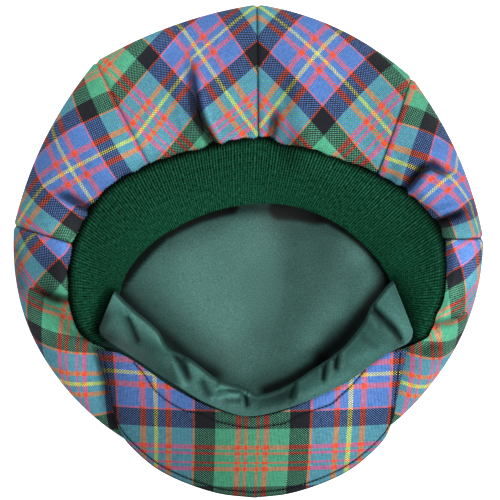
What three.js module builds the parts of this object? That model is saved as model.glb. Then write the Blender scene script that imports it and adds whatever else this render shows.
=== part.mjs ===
// Soft tartan cap with a short peak and a ribbed knit head band, lying upside down on its crown.
// Millimetres, +Z up, peak towards -Y. The origin is on the floor under the middle of the cap.
import * as THREE from "three";

// Crown: wool cloth panels sewn together, flattened where the crown lies on the floor
const CROWN_CENTRE_Y = 6.5;
const CLOTH_WALL = 2;
const PANEL_GAP = 0.4;
const TOP_HOLE = 2; // radius left open where the panel tips meet
const RIM_RUN = 30; // run of the rounded edge outside the flat rest

// Sections of the crown, counter-clockwise from the right side, measured from the crown's centre.
// rim: reach of the widest line, rimZ: its height. puff: swell of the cloth above the straight run.
// tuck: how far the cloth dips into the seam. seamX, seamY, seamZ: edge of the head opening.
const SECTIONS = [
  { angle: 0, rim: 134.6, rimZ: 27, puff: 5, tuck: 3, seamX: 110, seamY: -1, seamZ: 50 },
  { angle: 22, rim: 133.2, rimZ: 25, puff: 6, tuck: 3, seamX: 96.5, seamY: 20, seamZ: 45 },
  { angle: 44.5, rim: 131.8, rimZ: 24, puff: 7, tuck: 3, seamX: 73, seamY: 37.5, seamZ: 40 },
  { angle: 66, rim: 133.4, rimZ: 23, puff: 7, tuck: 3, seamX: 39.5, seamY: 50.5, seamZ: 37 },
  { angle: 88, rim: 134.8, rimZ: 22, puff: 7, tuck: 3, seamX: 5.5, seamY: 57, seamZ: 36 },
  { angle: 110, rim: 134.6, rimZ: 23, puff: 7, tuck: 3, seamX: -25.5, seamY: 52, seamZ: 37 },
  { angle: 131, rim: 134.5, rimZ: 24, puff: 7, tuck: 3, seamX: -56.5, seamY: 43.5, seamZ: 40 },
  { angle: 154, rim: 134.8, rimZ: 25, puff: 6, tuck: 3, seamX: -82, seamY: 26, seamZ: 45 },
  { angle: 177, rim: 135.2, rimZ: 27, puff: 5, tuck: 3, seamX: -100, seamY: -3.5, seamZ: 50 },
  { angle: 200, rim: 136.6, rimZ: 28, puff: 4, tuck: 2, seamX: -100, seamY: -36, seamZ: 51 },
  { angle: 216, rim: 136.2, rimZ: 28, puff: 2, tuck: 0, seamX: -89.5, seamY: -57.5, seamZ: 46 },
  { angle: 230, rim: 136, rimZ: 27, puff: 0, tuck: 0, seamX: -70, seamY: -68, seamZ: 35 },
  { angle: 248, rim: 136, rimZ: 25, puff: 0, tuck: 0, seamX: -40, seamY: -88, seamZ: 29.5 },
  { angle: 269, rim: 136, rimZ: 24, puff: 0, tuck: 0, seamX: 1.5, seamY: -102, seamZ: 32 },
  { angle: 290, rim: 136, rimZ: 25, puff: 0, tuck: 0, seamX: 43, seamY: -88, seamZ: 29.5 },
  { angle: 309, rim: 135, rimZ: 27, puff: 0, tuck: 0, seamX: 73, seamY: -68, seamZ: 35 },
  { angle: 323, rim: 134.2, rimZ: 28, puff: 2, tuck: 0, seamX: 94.5, seamY: -58, seamZ: 46 },
  { angle: 332, rim: 134.4, rimZ: 28, puff: 3.5, tuck: 1.5, seamX: 105, seamY: -47, seamZ: 49.5 },
  { angle: 343, rim: 134.6, rimZ: 28, puff: 4.5, tuck: 2.5, seamX: 109.5, seamY: -29, seamZ: 51 },
];

// Panels between two sewn seams. sag: how far the rim falls inside the seams' corners half way along.
const PANELS = [
  { name: "crown_side_right", from: 0, to: 44.5, sag: 3.8, columns: 16, colour: 0x5b7fc2 },
  { name: "crown_back_right", from: 44.5, to: 88, sag: 2.2, columns: 16, colour: 0x4f9a9c },
  { name: "crown_back_left", from: 88, to: 131, sag: 4.5, columns: 16, colour: 0x5b7fc2 },
  { name: "crown_side_left", from: 131, to: 177, sag: 4.2, columns: 16, colour: 0x4f9a9c },
  { name: "crown_front_left", from: 177, to: 269, sag: 0, columns: 22, colour: 0x4faa82 },
  { name: "crown_front_right", from: 269, to: 360, sag: 0, columns: 22, colour: 0x4faa82 },
];

// Gathers: creases that run from the rim side to the seam. starts: share of the run where one begins.
const GATHERS = [
  { rimAngle: 108.5, seamAngle: 107, starts: 0.12, depth: 6, width: 4 },
  { rimAngle: 76.5, seamAngle: 83.5, starts: 0.62, depth: 4.5, width: 3 },
  { rimAngle: 17, seamAngle: 32, starts: 0.05, depth: 7, width: 4.5 },
  { rimAngle: 8, seamAngle: 9.5, starts: 0.1, depth: 6, width: 4 },
  { rimAngle: 165, seamAngle: 163, starts: 0.25, depth: 5, width: 4 },
  { rimAngle: 189.5, seamAngle: 200, starts: 0.2, depth: 5, width: 4 },
  { rimAngle: 343, seamAngle: 330.5, starts: 0.15, depth: 4.5, width: 4 },
];
const GATHER_RIDGE = 0.35; // height of the ridges beside a crease, as a share of its depth
const GATHER_RIDGE_AT = 1.9; // their distance from the crease, in widths

// Knit head band: a doubled rib that slopes from the seam down into the hollow
const BAND_HALF_WALL = 1.9;
const BAND_SEAM_GAP = 0.5;
const BAND_ARCH = 4;
const BAND_ARCH_WIDTH = 36; // a narrower stretch of the band arches less
const BAND_BASE_DROP = 1;
const BAND_STEPS = 56;
const BAND_SHARES = [0, 0.14, 0.35, 0.6, 0.82, 1];
// Free edge of the band, measured from the crown's centre, from its right end to its left end.
const BAND_EDGE = [
  { angle: -39, freeX: 83, freeY: -56.5, freeZ: 22 },
  { angle: -29, freeX: 88.5, freeY: -45, freeZ: 23 },
  { angle: -18, freeX: 86, freeY: -33, freeZ: 23 },
  { angle: 0, freeX: 80.5, freeY: -19, freeZ: 21 },
  { angle: 22, freeX: 69, freeY: -4, freeZ: 19 },
  { angle: 44.5, freeX: 50.5, freeY: 10.5, freeZ: 17 },
  { angle: 66, freeX: 28, freeY: 19.5, freeZ: 15.5 },
  { angle: 88, freeX: 3.5, freeY: 21.5, freeZ: 15 },
  { angle: 110, freeX: -21, freeY: 17, freeZ: 15.5 },
  { angle: 131, freeX: -42, freeY: 8, freeZ: 17 },
  { angle: 154, freeX: -58.5, freeY: -3, freeZ: 19 },
  { angle: 177, freeX: -71.5, freeY: -18.5, freeZ: 21 },
  { angle: 200, freeX: -77, freeY: -35, freeZ: 23 },
  { angle: 210, freeX: -79, freeY: -46, freeZ: 23 },
  { angle: 219.5, freeX: -75, freeY: -57, freeZ: 22 },
];

// Peak: a stiffened crescent covered in cloth, curling up towards its two ends
const PEAK_X = 1.5;
const PEAK_WALL = 3.5;
const PEAK_Z = 36;
const PEAK_SLOPE = 0.14;
const PEAK_CURL = 20;
const PEAK_CURL_POWER = 4;
const PEAK_CURL_BACK_Y = -60;
const PEAK_CURL_FRONT_Y = -128;
const PEAK_CURL_LEFT = 0.3; // share of the curl that is left at the front
const PEAK_COLUMNS = 26;
const PEAK_ROWS = 6;
// One half of the outline from the middle to the end, measured from the peak's middle line.
const PEAK_OUTLINE = [
  { seamX: 0, seamY: -102.5, edgeX: 0, edgeY: -147 },
  { seamX: 16, seamY: -99.5, edgeX: 19, edgeY: -144.5 },
  { seamX: 32, seamY: -93, edgeX: 37.5, edgeY: -138.5 },
  { seamX: 48, seamY: -84, edgeX: 53.5, edgeY: -130.5 },
  { seamX: 62, seamY: -74, edgeX: 65.5, edgeY: -121 },
  { seamX: 75, seamY: -66, edgeX: 73.5, edgeY: -112 },
  { seamX: 88, seamY: -63.5, edgeX: 78, edgeY: -101.5 },
];

// Lining: a satin bag that lies in the crown and is sewn in at the head opening
const LINING_WALL = 1;
const LINING_GAP = 0.35;
const LINING_RIM_INSET = 9;
const LINING_SEAM_INSET = 1;
const LINING_SEAM_DROP = 12;
const LINING_LEAST_CLIMB = 0.5; // least rise from its widest line to its seam
const LINING_COLUMNS = 40;
const LINING_SLIT = 0.16; // degrees left open at the end of each half of the lining's side
const OPENING_CENTRE_X = 4;
const OPENING_CENTRE_Y = -22;

// Front facing: a loose satin strip sewn along the peak, rolled inwards and tucked under
const FACING_HALF_WALL = 0.6;
const FACING_SEAT = 1.25; // height of its middle over the peak
const FACING_TOP = 47.5; // its ends leave the peak and stay below this
const FACING_STEPS = 34;
const FACING_SWELL = 2;
const FACING_ROLL = 2.4; // radius of the rolled edge
const FACING_RETURN = 0.55; // share of the width that is tucked under
const FACING_RETURN_DROP = 7;
// From its left end to its right end, measured from the crown's centre.
const FACING_EDGES = [
  { share: 0, outerX: -85.7, outerY: -55.2, foldX: -77.3, foldY: -30.5, foldZ: 40 },
  { share: 0.1, outerX: -75.3, outerY: -62.1, foldX: -66.7, foldY: -40.8, foldZ: 36 },
  { share: 0.2, outerX: -61.5, outerY: -71.3, foldX: -52.9, foldY: -52.9, foldZ: 32 },
  { share: 0.27, outerX: -52.3, outerY: -77.6, foldX: -46.6, foldY: -63.3, foldZ: 29 },
  { share: 0.37, outerX: -38.5, outerY: -86.3, foldX: -32.8, foldY: -70.7, foldZ: 28 },
  { share: 0.46, outerX: -23.6, outerY: -94.9, foldX: -17.8, foldY: -81.7, foldZ: 28 },
  { share: 0.54, outerX: -6.3, outerY: -101.2, foldX: -1.7, foldY: -86.8, foldZ: 29 },
  { share: 0.6, outerX: 5.2, outerY: -101.5, foldX: 5.2, foldY: -90.6, foldZ: 30 },
  { share: 0.68, outerX: 22.4, outerY: -97.2, foldX: 20.7, foldY: -86.3, foldZ: 28 },
  { share: 0.77, outerX: 40.8, outerY: -90, foldX: 36.2, foldY: -76.5, foldZ: 28 },
  { share: 0.86, outerX: 59.2, outerY: -80.5, foldX: 53.5, foldY: -64.1, foldZ: 30 },
  { share: 0.93, outerX: 76.5, outerY: -67.3, foldX: 65, foldY: -50, foldZ: 34 },
  { share: 0.97, outerX: 86.8, outerY: -61.5, foldX: 72.7, foldY: -37.8, foldZ: 37 },
  { share: 1, outerX: 93.2, outerY: -56.4, foldX: 82.8, foldY: -24.7, foldZ: 41 },
];

const radians = THREE.MathUtils.degToRad;
const lerp = THREE.MathUtils.lerp;
const smooth = THREE.MathUtils.smoothstep;
const UP = new THREE.Vector3(0, 0, 1);

// Row of a table at one value of its key column, by a smooth curve through every other column.
function rowAt(rows, key, value, period = 0) {
  const count = rows.length;
  const keyOf = (i) => rows[((i % count) + count) % count][key] + period * Math.floor(i / count);
  const last = period ? count : count - 1;
  const at = period ? ((value % period) + period) % period : value;
  let i = 0;
  while (i < last - 1 && at > keyOf(i + 1)) i += 1;
  const held = (k) => (period ? k : THREE.MathUtils.clamp(k, 0, count - 1));
  const knots = [held(i - 1), i, held(i + 1), held(i + 2)];
  const [k0, k1, k2, k3] = knots.map(keyOf);
  const width = k2 - k1;
  const t = THREE.MathUtils.clamp((at - k1) / width, 0, 1);
  const made = {};
  for (const column of Object.keys(rows[0])) {
    const [p0, p1, p2, p3] = knots.map((k) => rows[((k % count) + count) % count][column]);
    const leave = ((p2 - p0) / (k2 - k0)) * width;
    const arrive = ((p3 - p1) / (k3 - k1)) * width;
    const turn = (1 - t) * (1 - t);
    const back = t * t;
    made[column] =
      turn * (1 + 2 * t) * p1 + t * turn * leave + back * (3 - 2 * t) * p2 + back * (t - 1) * arrive;
  }
  return made;
}

const sectionAt = (angle) => rowAt(SECTIONS, "angle", angle, 360);

// Depth of the gathers at one place of the crown's underside run.
function gatherDepth(angle, run, reach) {
  let depth = 0;
  for (const gather of GATHERS) {
    const middle = lerp(gather.rimAngle, gather.seamAngle, run);
    const turn = THREE.MathUtils.euclideanModulo(angle - middle + 180, 360) - 180;
    const across = (radians(turn) * reach) / gather.width;
    const ridges =
      Math.exp(-((across - GATHER_RIDGE_AT) ** 2)) + Math.exp(-((across + GATHER_RIDGE_AT) ** 2));
    const strength = gather.depth * smooth(run, gather.starts, gather.starts + 0.35);
    depth += strength * (Math.exp(-(across ** 2)) - GATHER_RIDGE * ridges);
  }
  return depth;
}

// Angle of a quarter turn that is made once in each of the three stretches of v.
function quarterTurn(v) {
  const stretch = Math.min(Math.floor(v), 2);
  return ((v - stretch) * Math.PI) / 2;
}

// Point of the crown's outside. v runs 0 to 1 over the flat rest, to 2 round the edge, to 3 at the seam.
function crownPoint(angle, v, sag) {
  const section = sectionAt(angle);
  const along = new THREE.Vector2(Math.cos(radians(angle)), Math.sin(radians(angle)));
  const rim = section.rim - sag;
  const flat = rim - RIM_RUN;
  const turn = quarterTurn(v);
  if (v < 1) {
    const reach = lerp(TOP_HOLE, flat, v);
    return new THREE.Vector3(along.x * reach, along.y * reach + CROWN_CENTRE_Y, 0);
  }
  if (v < 2) {
    const reach = flat + RIM_RUN * Math.sin(turn);
    const height = section.rimZ * (1 - Math.cos(turn));
    return new THREE.Vector3(along.x * reach, along.y * reach + CROWN_CENTRE_Y, height);
  }
  const run = 1 - Math.cos(turn);
  const x = lerp(along.x * rim, section.seamX, run);
  const y = lerp(along.y * rim, section.seamY, run);
  const straight = section.rimZ + (section.seamZ - section.rimZ) * Math.sin(turn);
  const swell = section.puff * Math.sin(Math.PI * run) - section.tuck * smooth(run, 0.82, 1);
  const creased = gatherDepth(angle, run, Math.hypot(x, y));
  return new THREE.Vector3(x, y + CROWN_CENTRE_Y, straight + swell - creased);
}

// Outward direction of a surface given as point(angle, v), by small steps both ways.
function outward(point, angle, v, lowest, highest) {
  const step = 0.02;
  const around = point(angle + 0.4, v).sub(point(angle - 0.4, v));
  const along = point(angle, Math.min(v + step, highest)).sub(point(angle, Math.max(v - step, lowest)));
  return around.cross(along).normalize();
}

// Mesh geometry from points and triangles, with the faces turned to point out.
function closedGeometry(points, triangles) {
  const positions = points.flatMap((p) => [p.x, p.y, p.z]);
  let volume = 0;
  for (const [a, b, c] of triangles) {
    volume += points[a].dot(points[b].clone().cross(points[c]));
  }
  const index = triangles.flatMap(([a, b, c]) => (volume < 0 ? [a, c, b] : [a, b, c]));
  const geometry = new THREE.BufferGeometry();
  geometry.setAttribute("position", new THREE.Float32BufferAttribute(positions, 3));
  geometry.setIndex(index);
  geometry.computeVertexNormals();
  return geometry;
}

// Solid wall between two grids of the same size. ring: the columns close on themselves.
// pole: the first row is a single point.
function wallGeometry(front, back, { ring = false, pole = false } = {}) {
  const rows = front.length;
  const columns = front[0].length;
  const points = [...front.flat(), ...back.flat()];
  const half = rows * columns;
  const id = (i, j, side) => side * half + i * columns + (pole && i === 0 ? 0 : j % columns);
  const triangles = [];
  const quad = (a, b, c, d) => {
    if (a !== b) triangles.push([a, b, c]);
    if (c !== d) triangles.push([a, c, d]);
  };
  const spans = ring ? columns : columns - 1;
  for (let i = 0; i < rows - 1; i += 1) {
    for (let j = 0; j < spans; j += 1) {
      quad(id(i, j, 0), id(i, j + 1, 0), id(i + 1, j + 1, 0), id(i + 1, j, 0));
      quad(id(i, j + 1, 1), id(i, j, 1), id(i + 1, j, 1), id(i + 1, j + 1, 1));
    }
    if (!ring) {
      const end = columns - 1;
      quad(id(i, 0, 0), id(i + 1, 0, 0), id(i + 1, 0, 1), id(i, 0, 1));
      quad(id(i + 1, end, 0), id(i, end, 0), id(i, end, 1), id(i + 1, end, 1));
    }
  }
  for (let j = 0; j < spans; j += 1) {
    const end = rows - 1;
    if (!pole) quad(id(0, j, 1), id(0, j + 1, 1), id(0, j + 1, 0), id(0, j, 0));
    quad(id(end, j, 0), id(end, j + 1, 0), id(end, j + 1, 1), id(end, j, 1));
  }
  return closedGeometry(points, triangles);
}

// Solid swept through closed loops of the same length, with flat ends.
function sweptGeometry(loops) {
  const size = loops[0].length;
  const points = loops.flat();
  const triangles = [];
  for (let i = 0; i < loops.length - 1; i += 1) {
    for (let j = 0; j < size; j += 1) {
      const next = (j + 1) % size;
      const here = i * size;
      const there = here + size;
      triangles.push([here + j, here + next, there + next], [here + j, there + next, there + j]);
    }
  }
  const half = size / 2;
  const top = (loops.length - 1) * size;
  for (let j = 0; j < half - 1; j += 1) {
    const far = size - 1 - j;
    triangles.push([j, far, far - 1], [j, far - 1, j + 1]);
    triangles.push([top + j, top + far - 1, top + far], [top + j, top + j + 1, top + far - 1]);
  }
  return closedGeometry(points, triangles);
}

// Closed loop round a line of (inward, height) points: one side out and the other side back.
function ribbonLoop(line, half) {
  const sides = line.map((point, i) => {
    const before = line[Math.max(i - 1, 0)];
    const after = line[Math.min(i + 1, line.length - 1)];
    const along = after.clone().sub(before).normalize();
    return new THREE.Vector2(-along.y, along.x).multiplyScalar(half);
  });
  const out = line.map((point, i) => point.clone().add(sides[i]));
  const home = line.map((point, i) => point.clone().sub(sides[i])).reverse();
  return [...out, ...home];
}

// Places (inward, height) points in space, along the level line from one place towards another.
function placeLoop(loop, from, towards) {
  const inward = new THREE.Vector2().subVectors(towards, from).normalize();
  return loop.map(
    (p) =>
      new THREE.Vector3(from.x + inward.x * p.x, from.y + inward.y * p.x + CROWN_CENTRE_Y, p.y),
  );
}

const steps = (count) => Array.from({ length: count + 1 }, (unused, i) => i / count);

// Rings of the crown: the flat rest, the rounded edge, then closer and closer up to the seam.
const CROWN_RINGS = [
  0, 0.5, 1, 1.3, 1.6, 1.85, 2.12, 2.28, 2.42, 2.55, 2.66, 2.76, 2.85, 2.93, 3,
];

// One sewn panel of the crown, as a wall of cloth between its two seams.
function crownPanel(panel) {
  const middle = (panel.from + panel.to) / 2;
  const outside = [];
  const inside = [];
  for (const v of CROWN_RINGS) {
    const across = crownPoint(middle, v, 0);
    const reach = Math.hypot(across.x, across.y - CROWN_CENTRE_Y);
    const inset = THREE.MathUtils.radToDeg(PANEL_GAP / 2 / reach);
    const places = steps(panel.columns).map((share) => {
      const angle = lerp(panel.from + inset, panel.to - inset, share);
      const sag = panel.sag * (1 - (2 * share - 1) ** 2);
      const point = crownPoint(angle, v, sag);
      const smoothOutside = (a, b) => crownPoint(a, b, 0);
      const out = outward(smoothOutside, angle, v, 0, 3);
      return { point, back: point.clone().addScaledVector(out, -CLOTH_WALL) };
    });
    outside.push(places.map((place) => place.point));
    inside.push(places.map((place) => place.back));
  }
  return wallGeometry(outside, inside);
}

// Point of the lining's outside, with v as on the crown.
function liningPoint(angle, v) {
  const section = sectionAt(angle);
  const along = new THREE.Vector2(Math.cos(radians(angle)), Math.sin(radians(angle)));
  const floor = CLOTH_WALL + LINING_GAP;
  const rim = section.rim - LINING_RIM_INSET;
  const flat = rim - RIM_RUN;
  const turn = quarterTurn(v);
  if (v < 1) return new THREE.Vector3(along.x * flat * v, along.y * flat * v + CROWN_CENTRE_Y, floor);
  if (v < 2) {
    const reach = flat + RIM_RUN * Math.sin(turn);
    const height = floor + (section.rimZ - floor) * (1 - Math.cos(turn));
    return new THREE.Vector3(along.x * reach, along.y * reach + CROWN_CENTRE_Y, height);
  }
  const run = 1 - Math.cos(turn);
  const seam = new THREE.Vector2(section.seamX, section.seamY);
  const middle = new THREE.Vector2(OPENING_CENTRE_X, OPENING_CENTRE_Y);
  seam.add(middle.sub(seam).setLength(LINING_SEAM_INSET));
  const climb = Math.max(section.seamZ - LINING_SEAM_DROP - section.rimZ, LINING_LEAST_CLIMB);
  const height = section.rimZ + climb * Math.sin(turn);
  return new THREE.Vector3(
    lerp(along.x * rim, seam.x, run),
    lerp(along.y * rim, seam.y, run) + CROWN_CENTRE_Y,
    height,
  );
}

// Rings of the lining's three stretches, each ending just short of the next: its round floor, the side
// that rises round it, and the mouth that closes in to the head opening.
const LINING_TIP_RINGS = [0, 0.5, 0.9965];
const LINING_SIDE_RINGS = [1, 1.2, 1.4, 1.7, 1.965];
const LINING_MOUTH_RINGS = [2, 2.35, 2.7, 3];

// Stretch of the lining through the given rings, as a wall that closes round the cap or spans a part of it.
function liningWall(rings, { pole = false, from = 0, to = 360 } = {}) {
  const ring = to - from === 360;
  const shares = steps((LINING_COLUMNS * (to - from)) / 360);
  const slit = ring ? 0 : LINING_SLIT;
  const angles = shares.map((share) => lerp(from + slit, to - slit, share));
  if (ring) angles.pop();
  const outside = [];
  const inside = [];
  for (const v of rings) {
    const [lowest, highest] = v < 2 ? [1, 1.999] : [2, 3];
    const places = angles.map((angle) => {
      const point = liningPoint(angle, v);
      const out = v <= 1 ? UP.clone().negate() : outward(liningPoint, angle, v, lowest, highest);
      return { point, back: point.clone().addScaledVector(out, -LINING_WALL) };
    });
    outside.push(places.map((place) => place.point));
    inside.push(places.map((place) => place.back));
  }
  return wallGeometry(outside, inside, { ring, pole });
}

// Knit band: from the seam down into the hollow, ending in a rounded fold.
function knitBand() {
  const first = BAND_EDGE[0].angle;
  const last = BAND_EDGE[BAND_EDGE.length - 1].angle;
  const loops = steps(BAND_STEPS).map((share) => {
    const angle = lerp(first, last, share);
    const section = sectionAt(angle);
    const edge = rowAt(BAND_EDGE, "angle", angle);
    const seam = new THREE.Vector2(section.seamX, section.seamY);
    const free = new THREE.Vector2(edge.freeX, edge.freeY);
    const width = seam.distanceTo(free);
    const baseZ = section.seamZ - section.tuck - BAND_BASE_DROP;
    const line = BAND_SHARES.map((w) => {
      const arch = BAND_ARCH * Math.min(1, width / BAND_ARCH_WIDTH) * Math.sin(Math.PI * w);
      return new THREE.Vector2(width * w, lerp(baseZ, edge.freeZ, w) + arch);
    });
    const nearest = Math.min(...ribbonLoop(line, BAND_HALF_WALL).map((p) => p.x));
    line.forEach((p) => p.setX(p.x + (BAND_SEAM_GAP - nearest) * (1 - p.x / width)));
    const loop = ribbonLoop(line, BAND_HALF_WALL);
    const end = line.length - 1;
    const along = line[end].clone().sub(line[end - 1]).setLength(BAND_HALF_WALL * 0.7);
    const narrowed = (from) => from.lerp(line[end], 0.3).add(along);
    const fold = [narrowed(loop[end].clone()), narrowed(loop[end + 1].clone())];
    return placeLoop([...loop.slice(0, end + 1), ...fold, ...loop.slice(end + 1)], seam, free);
  });
  return sweptGeometry(loops);
}

// Height of the peak's upper face, which is its underside when the cap is worn.
function peakTop(x, y) {
  const curl = PEAK_CURL * (Math.abs(x - PEAK_X) / 88) ** PEAK_CURL_POWER;
  const forward = THREE.MathUtils.clamp(
    (PEAK_CURL_BACK_Y - y) / (PEAK_CURL_BACK_Y - PEAK_CURL_FRONT_Y),
    0,
    1,
  );
  const front = PEAK_OUTLINE[0].seamY;
  return PEAK_Z + PEAK_SLOPE * (front - y) + curl * lerp(1, PEAK_CURL_LEFT, forward);
}

function peakPoint(seamX, share) {
  const row = rowAt(PEAK_OUTLINE, "seamX", Math.abs(seamX));
  const side = Math.sign(seamX);
  const x = side * lerp(row.seamX, row.edgeX, share) + PEAK_X;
  const y = lerp(row.seamY, row.edgeY, share);
  return new THREE.Vector3(x, y + CROWN_CENTRE_Y, peakTop(x, y));
}

function peakBoard() {
  const halfWidth = PEAK_OUTLINE[PEAK_OUTLINE.length - 1].seamX;
  const top = [];
  const bottom = [];
  for (const share of steps(PEAK_ROWS)) {
    const faces = steps(PEAK_COLUMNS).map((across) =>
      peakPoint(lerp(-halfWidth, halfWidth, across), share),
    );
    top.push(faces);
    bottom.push(faces.map((p) => p.clone().addScaledVector(UP, -PEAK_WALL)));
  }
  return wallGeometry(top, bottom);
}

// Front facing: out over the peak's seam, swelling inwards to a rolled edge, then tucked under.
function frontFacing() {
  const loops = steps(FACING_STEPS).map((share) => {
    const row = rowAt(FACING_EDGES, "share", share);
    const outer = new THREE.Vector2(row.outerX, row.outerY);
    const fold = new THREE.Vector2(row.foldX, row.foldY);
    const width = outer.distanceTo(fold) - FACING_ROLL;
    const outerZ = Math.min(peakTop(row.outerX, row.outerY) + FACING_SEAT, FACING_TOP);
    const upper = [0, 0.3, 0.65, 1].map((w) => {
      const swell = FACING_SWELL * Math.sin(Math.PI * w);
      return new THREE.Vector2(width * w, lerp(outerZ, row.foldZ, w) + swell);
    });
    const roll = new THREE.Vector2(width + FACING_ROLL, row.foldZ - FACING_ROLL);
    const under = new THREE.Vector2(width, row.foldZ - 2 * FACING_ROLL);
    const drop = FACING_RETURN_DROP * Math.sin(Math.PI * share);
    const tucked = new THREE.Vector2(width * (1 - FACING_RETURN), under.y - drop);
    return placeLoop(ribbonLoop([...upper, roll, under, tucked], FACING_HALF_WALL), outer, fold);
  });
  return sweptGeometry(loops);
}

function piece(name, geometry, colour, roughness) {
  const material = new THREE.MeshStandardMaterial({ color: colour, roughness, metalness: 0 });
  const mesh = new THREE.Mesh(geometry, material);
  mesh.name = name;
  return mesh;
}

const cap = new THREE.Group();
cap.name = "tartan_cap";

const crown = new THREE.Group();
for (const panel of PANELS) crown.add(piece(panel.name, crownPanel(panel), panel.colour, 0.9));
cap.add(crown);
cap.add(piece("peak", peakBoard(), 0x4faa86, 0.9));
cap.add(piece("knit_band", knitBand(), 0x14462f, 0.95));
const LINING_PIECES = [
  { name: "lining_tip", rings: LINING_TIP_RINGS, span: { pole: true } },
  { name: "lining_side_right", rings: LINING_SIDE_RINGS, span: { from: -90, to: 90 } },
  { name: "lining_side_left", rings: LINING_SIDE_RINGS, span: { from: 90, to: 270 } },
  { name: "lining_mouth", rings: LINING_MOUTH_RINGS, span: {} },
];
for (const stretch of LINING_PIECES) {
  cap.add(piece(stretch.name, liningWall(stretch.rings, stretch.span), 0x527a72, 0.45));
}
cap.add(piece("front_facing", frontFacing(), 0x4a746b, 0.45));

export default cap;
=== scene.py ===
import math

import bpy
import numpy as np
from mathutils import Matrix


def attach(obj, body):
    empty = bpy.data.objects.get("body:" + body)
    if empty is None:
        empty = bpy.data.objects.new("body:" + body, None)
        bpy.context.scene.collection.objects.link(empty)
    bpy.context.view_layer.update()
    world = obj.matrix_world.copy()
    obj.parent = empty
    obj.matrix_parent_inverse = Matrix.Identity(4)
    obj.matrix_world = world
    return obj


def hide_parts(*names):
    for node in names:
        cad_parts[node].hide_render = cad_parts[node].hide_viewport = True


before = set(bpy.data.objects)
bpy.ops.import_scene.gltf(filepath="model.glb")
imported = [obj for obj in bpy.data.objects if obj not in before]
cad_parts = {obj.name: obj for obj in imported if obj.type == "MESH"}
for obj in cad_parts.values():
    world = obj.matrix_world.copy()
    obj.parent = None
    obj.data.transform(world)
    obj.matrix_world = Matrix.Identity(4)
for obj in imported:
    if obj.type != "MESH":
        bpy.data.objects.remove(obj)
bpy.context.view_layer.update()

# Crown: panels of wool twill in a tartan check, cut on the cross and sewn edge to edge.
# The cap lies upside down on it, so its middle is pressed flat on the floor, and the cloth
# rolls up and in from there to the head opening, with soft creases where it is gathered in.
MM = 0.001
FULL_TURN = 360
CROWN_CENTRE_Y = 6.5
CLOTH_WALL = 2.0
RIM_RUN = 30.0
TOP_HOLE = 0.6
TUCK_FROM = 0.82


def named_rows(columns, *rows):
    """Rows of a table, with the names of their columns. A row may leave out the last columns."""
    return [dict(zip(columns.split(), row)) for row in rows]


# Sections round the crown in millimetres from its centre, counter-clockwise from the right side.
SECTIONS = named_rows(
    "angle rim rim_z puff tuck seam_x seam_y seam_z",
    (0, 134.6, 27, 5, 3, 110, -1, 50),
    (22, 133.2, 25, 6, 3, 96.5, 20, 45),
    (44.5, 131.8, 24, 7, 3, 73, 35.8, 40),
    (66, 133.4, 23, 7, 3, 39.5, 49, 37),
    (80, 134.4, 22.4, 7, 3, 17.5, 53.6, 36.4),
    (88, 134.8, 22, 7, 3, 5.5, 57, 36),
    (110, 134.6, 23, 7, 3, -25.5, 51, 37),
    (131, 134.5, 24, 7, 3, -56.5, 41, 40),
    (154, 134.8, 25, 6, 3, -82, 26, 45),
    (177, 135.2, 27, 5, 3, -99, -3.5, 50),
    (200, 136.6, 28, 4, 2, -101.6, -36, 51),
    (216, 136.2, 28, 2, 0, -92.5, -57.5, 46),
    (230, 136, 27, 0, 0, -70, -68, 35),
    (248, 136, 25, 0, 0, -40, -88, 29.5),
    (269, 136, 24, 0, 0, 1.5, -102, 32),
    (290, 136, 25, 0, 0, 43, -88, 29.5),
    (309, 135, 27, 0, 0, 73, -68, 35),
    (323, 134.2, 28, 2, 0, 99.6, -58, 46),
    (332, 134.4, 28, 3.5, 1.5, 106, -47, 49.5),
    (343, 134.6, 28, 4.5, 2.5, 111.5, -29, 51),
)

# Creases in the cloth, as lines from the rim side towards the band, in millimetres from the centre.
# A width of two numbers is the reach on the right of the line and the reach on its left.
FOLDS = {row["name"]: row for row in named_rows(
    "name depth width line",
    ("back_left", 9, (4.2, 2), [
        (-35.2, 109.2), (-33, 97.9), (-31.3, 85.4), (-29.5, 74), (-26.1, 64.9), (-21.6, 56.9),
        (-17.9, 51.2)]),
    ("back_right", 6, 3, [(16.5, 77.4), (15.1, 70.6), (13.7, 62.6), (12, 55.2)]),
    ("side_right_upper", 10, (4, 2), [
        (121.2, 38.7), (117.8, 38.1), (112.1, 36.4), (107.5, 37.9), (103.6, 40.4), (99.6, 38.7),
        (95.6, 34.2), (91.6, 29), (87.1, 25.6)]),
    ("side_right_lower", 8, (1.8, 3.8), [
        (126.9, 17.7), (124, 16.5), (118.9, 14.3), (113.2, 12.3), (106.4, 9.7)]),
    ("side_left", 7, (1.8, 3.6), [
        (-114.9, 29), (-111.5, 26.8), (-106.3, 23.9), (-100.1, 20.5), (-93.8, 17.1), (-87, 13.7)]),
    ("front_left", 6, (1.6, 3.2), [
        (-124.5, -28.4), (-120, -29.5), (-114.3, -32.9), (-108.6, -34.7), (-101.8, -35.2)]),
    ("front_left_low", 2.5, 3, [(-109.7, -47.7), (-105.2, -52.3), (-98.4, -54.6), (-91.5, -56.8)]),
    ("front_right", 3.5, 3, [(123.5, -42.6), (118.9, -44.9), (113.2, -47.2), (106.4, -48.9)]),
    ("front_right_low", 2.5, 3, [(112.1, -59.1), (106.4, -61.4), (99.6, -63.7)]),
)}
# Low ridges lie beside each crease, and their place and width are counted in the crease's own widths.
RIDGE_AT = 2.2
RIDGE_WIDTH = 1.3
RIDGE_SHARE = 0.35
FADE_FROM = -0.02
TAIL_FROM = 0.6
CREASE_CLOSE = 0.65
CREASE_CLOSE_REACH = 6.0

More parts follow.
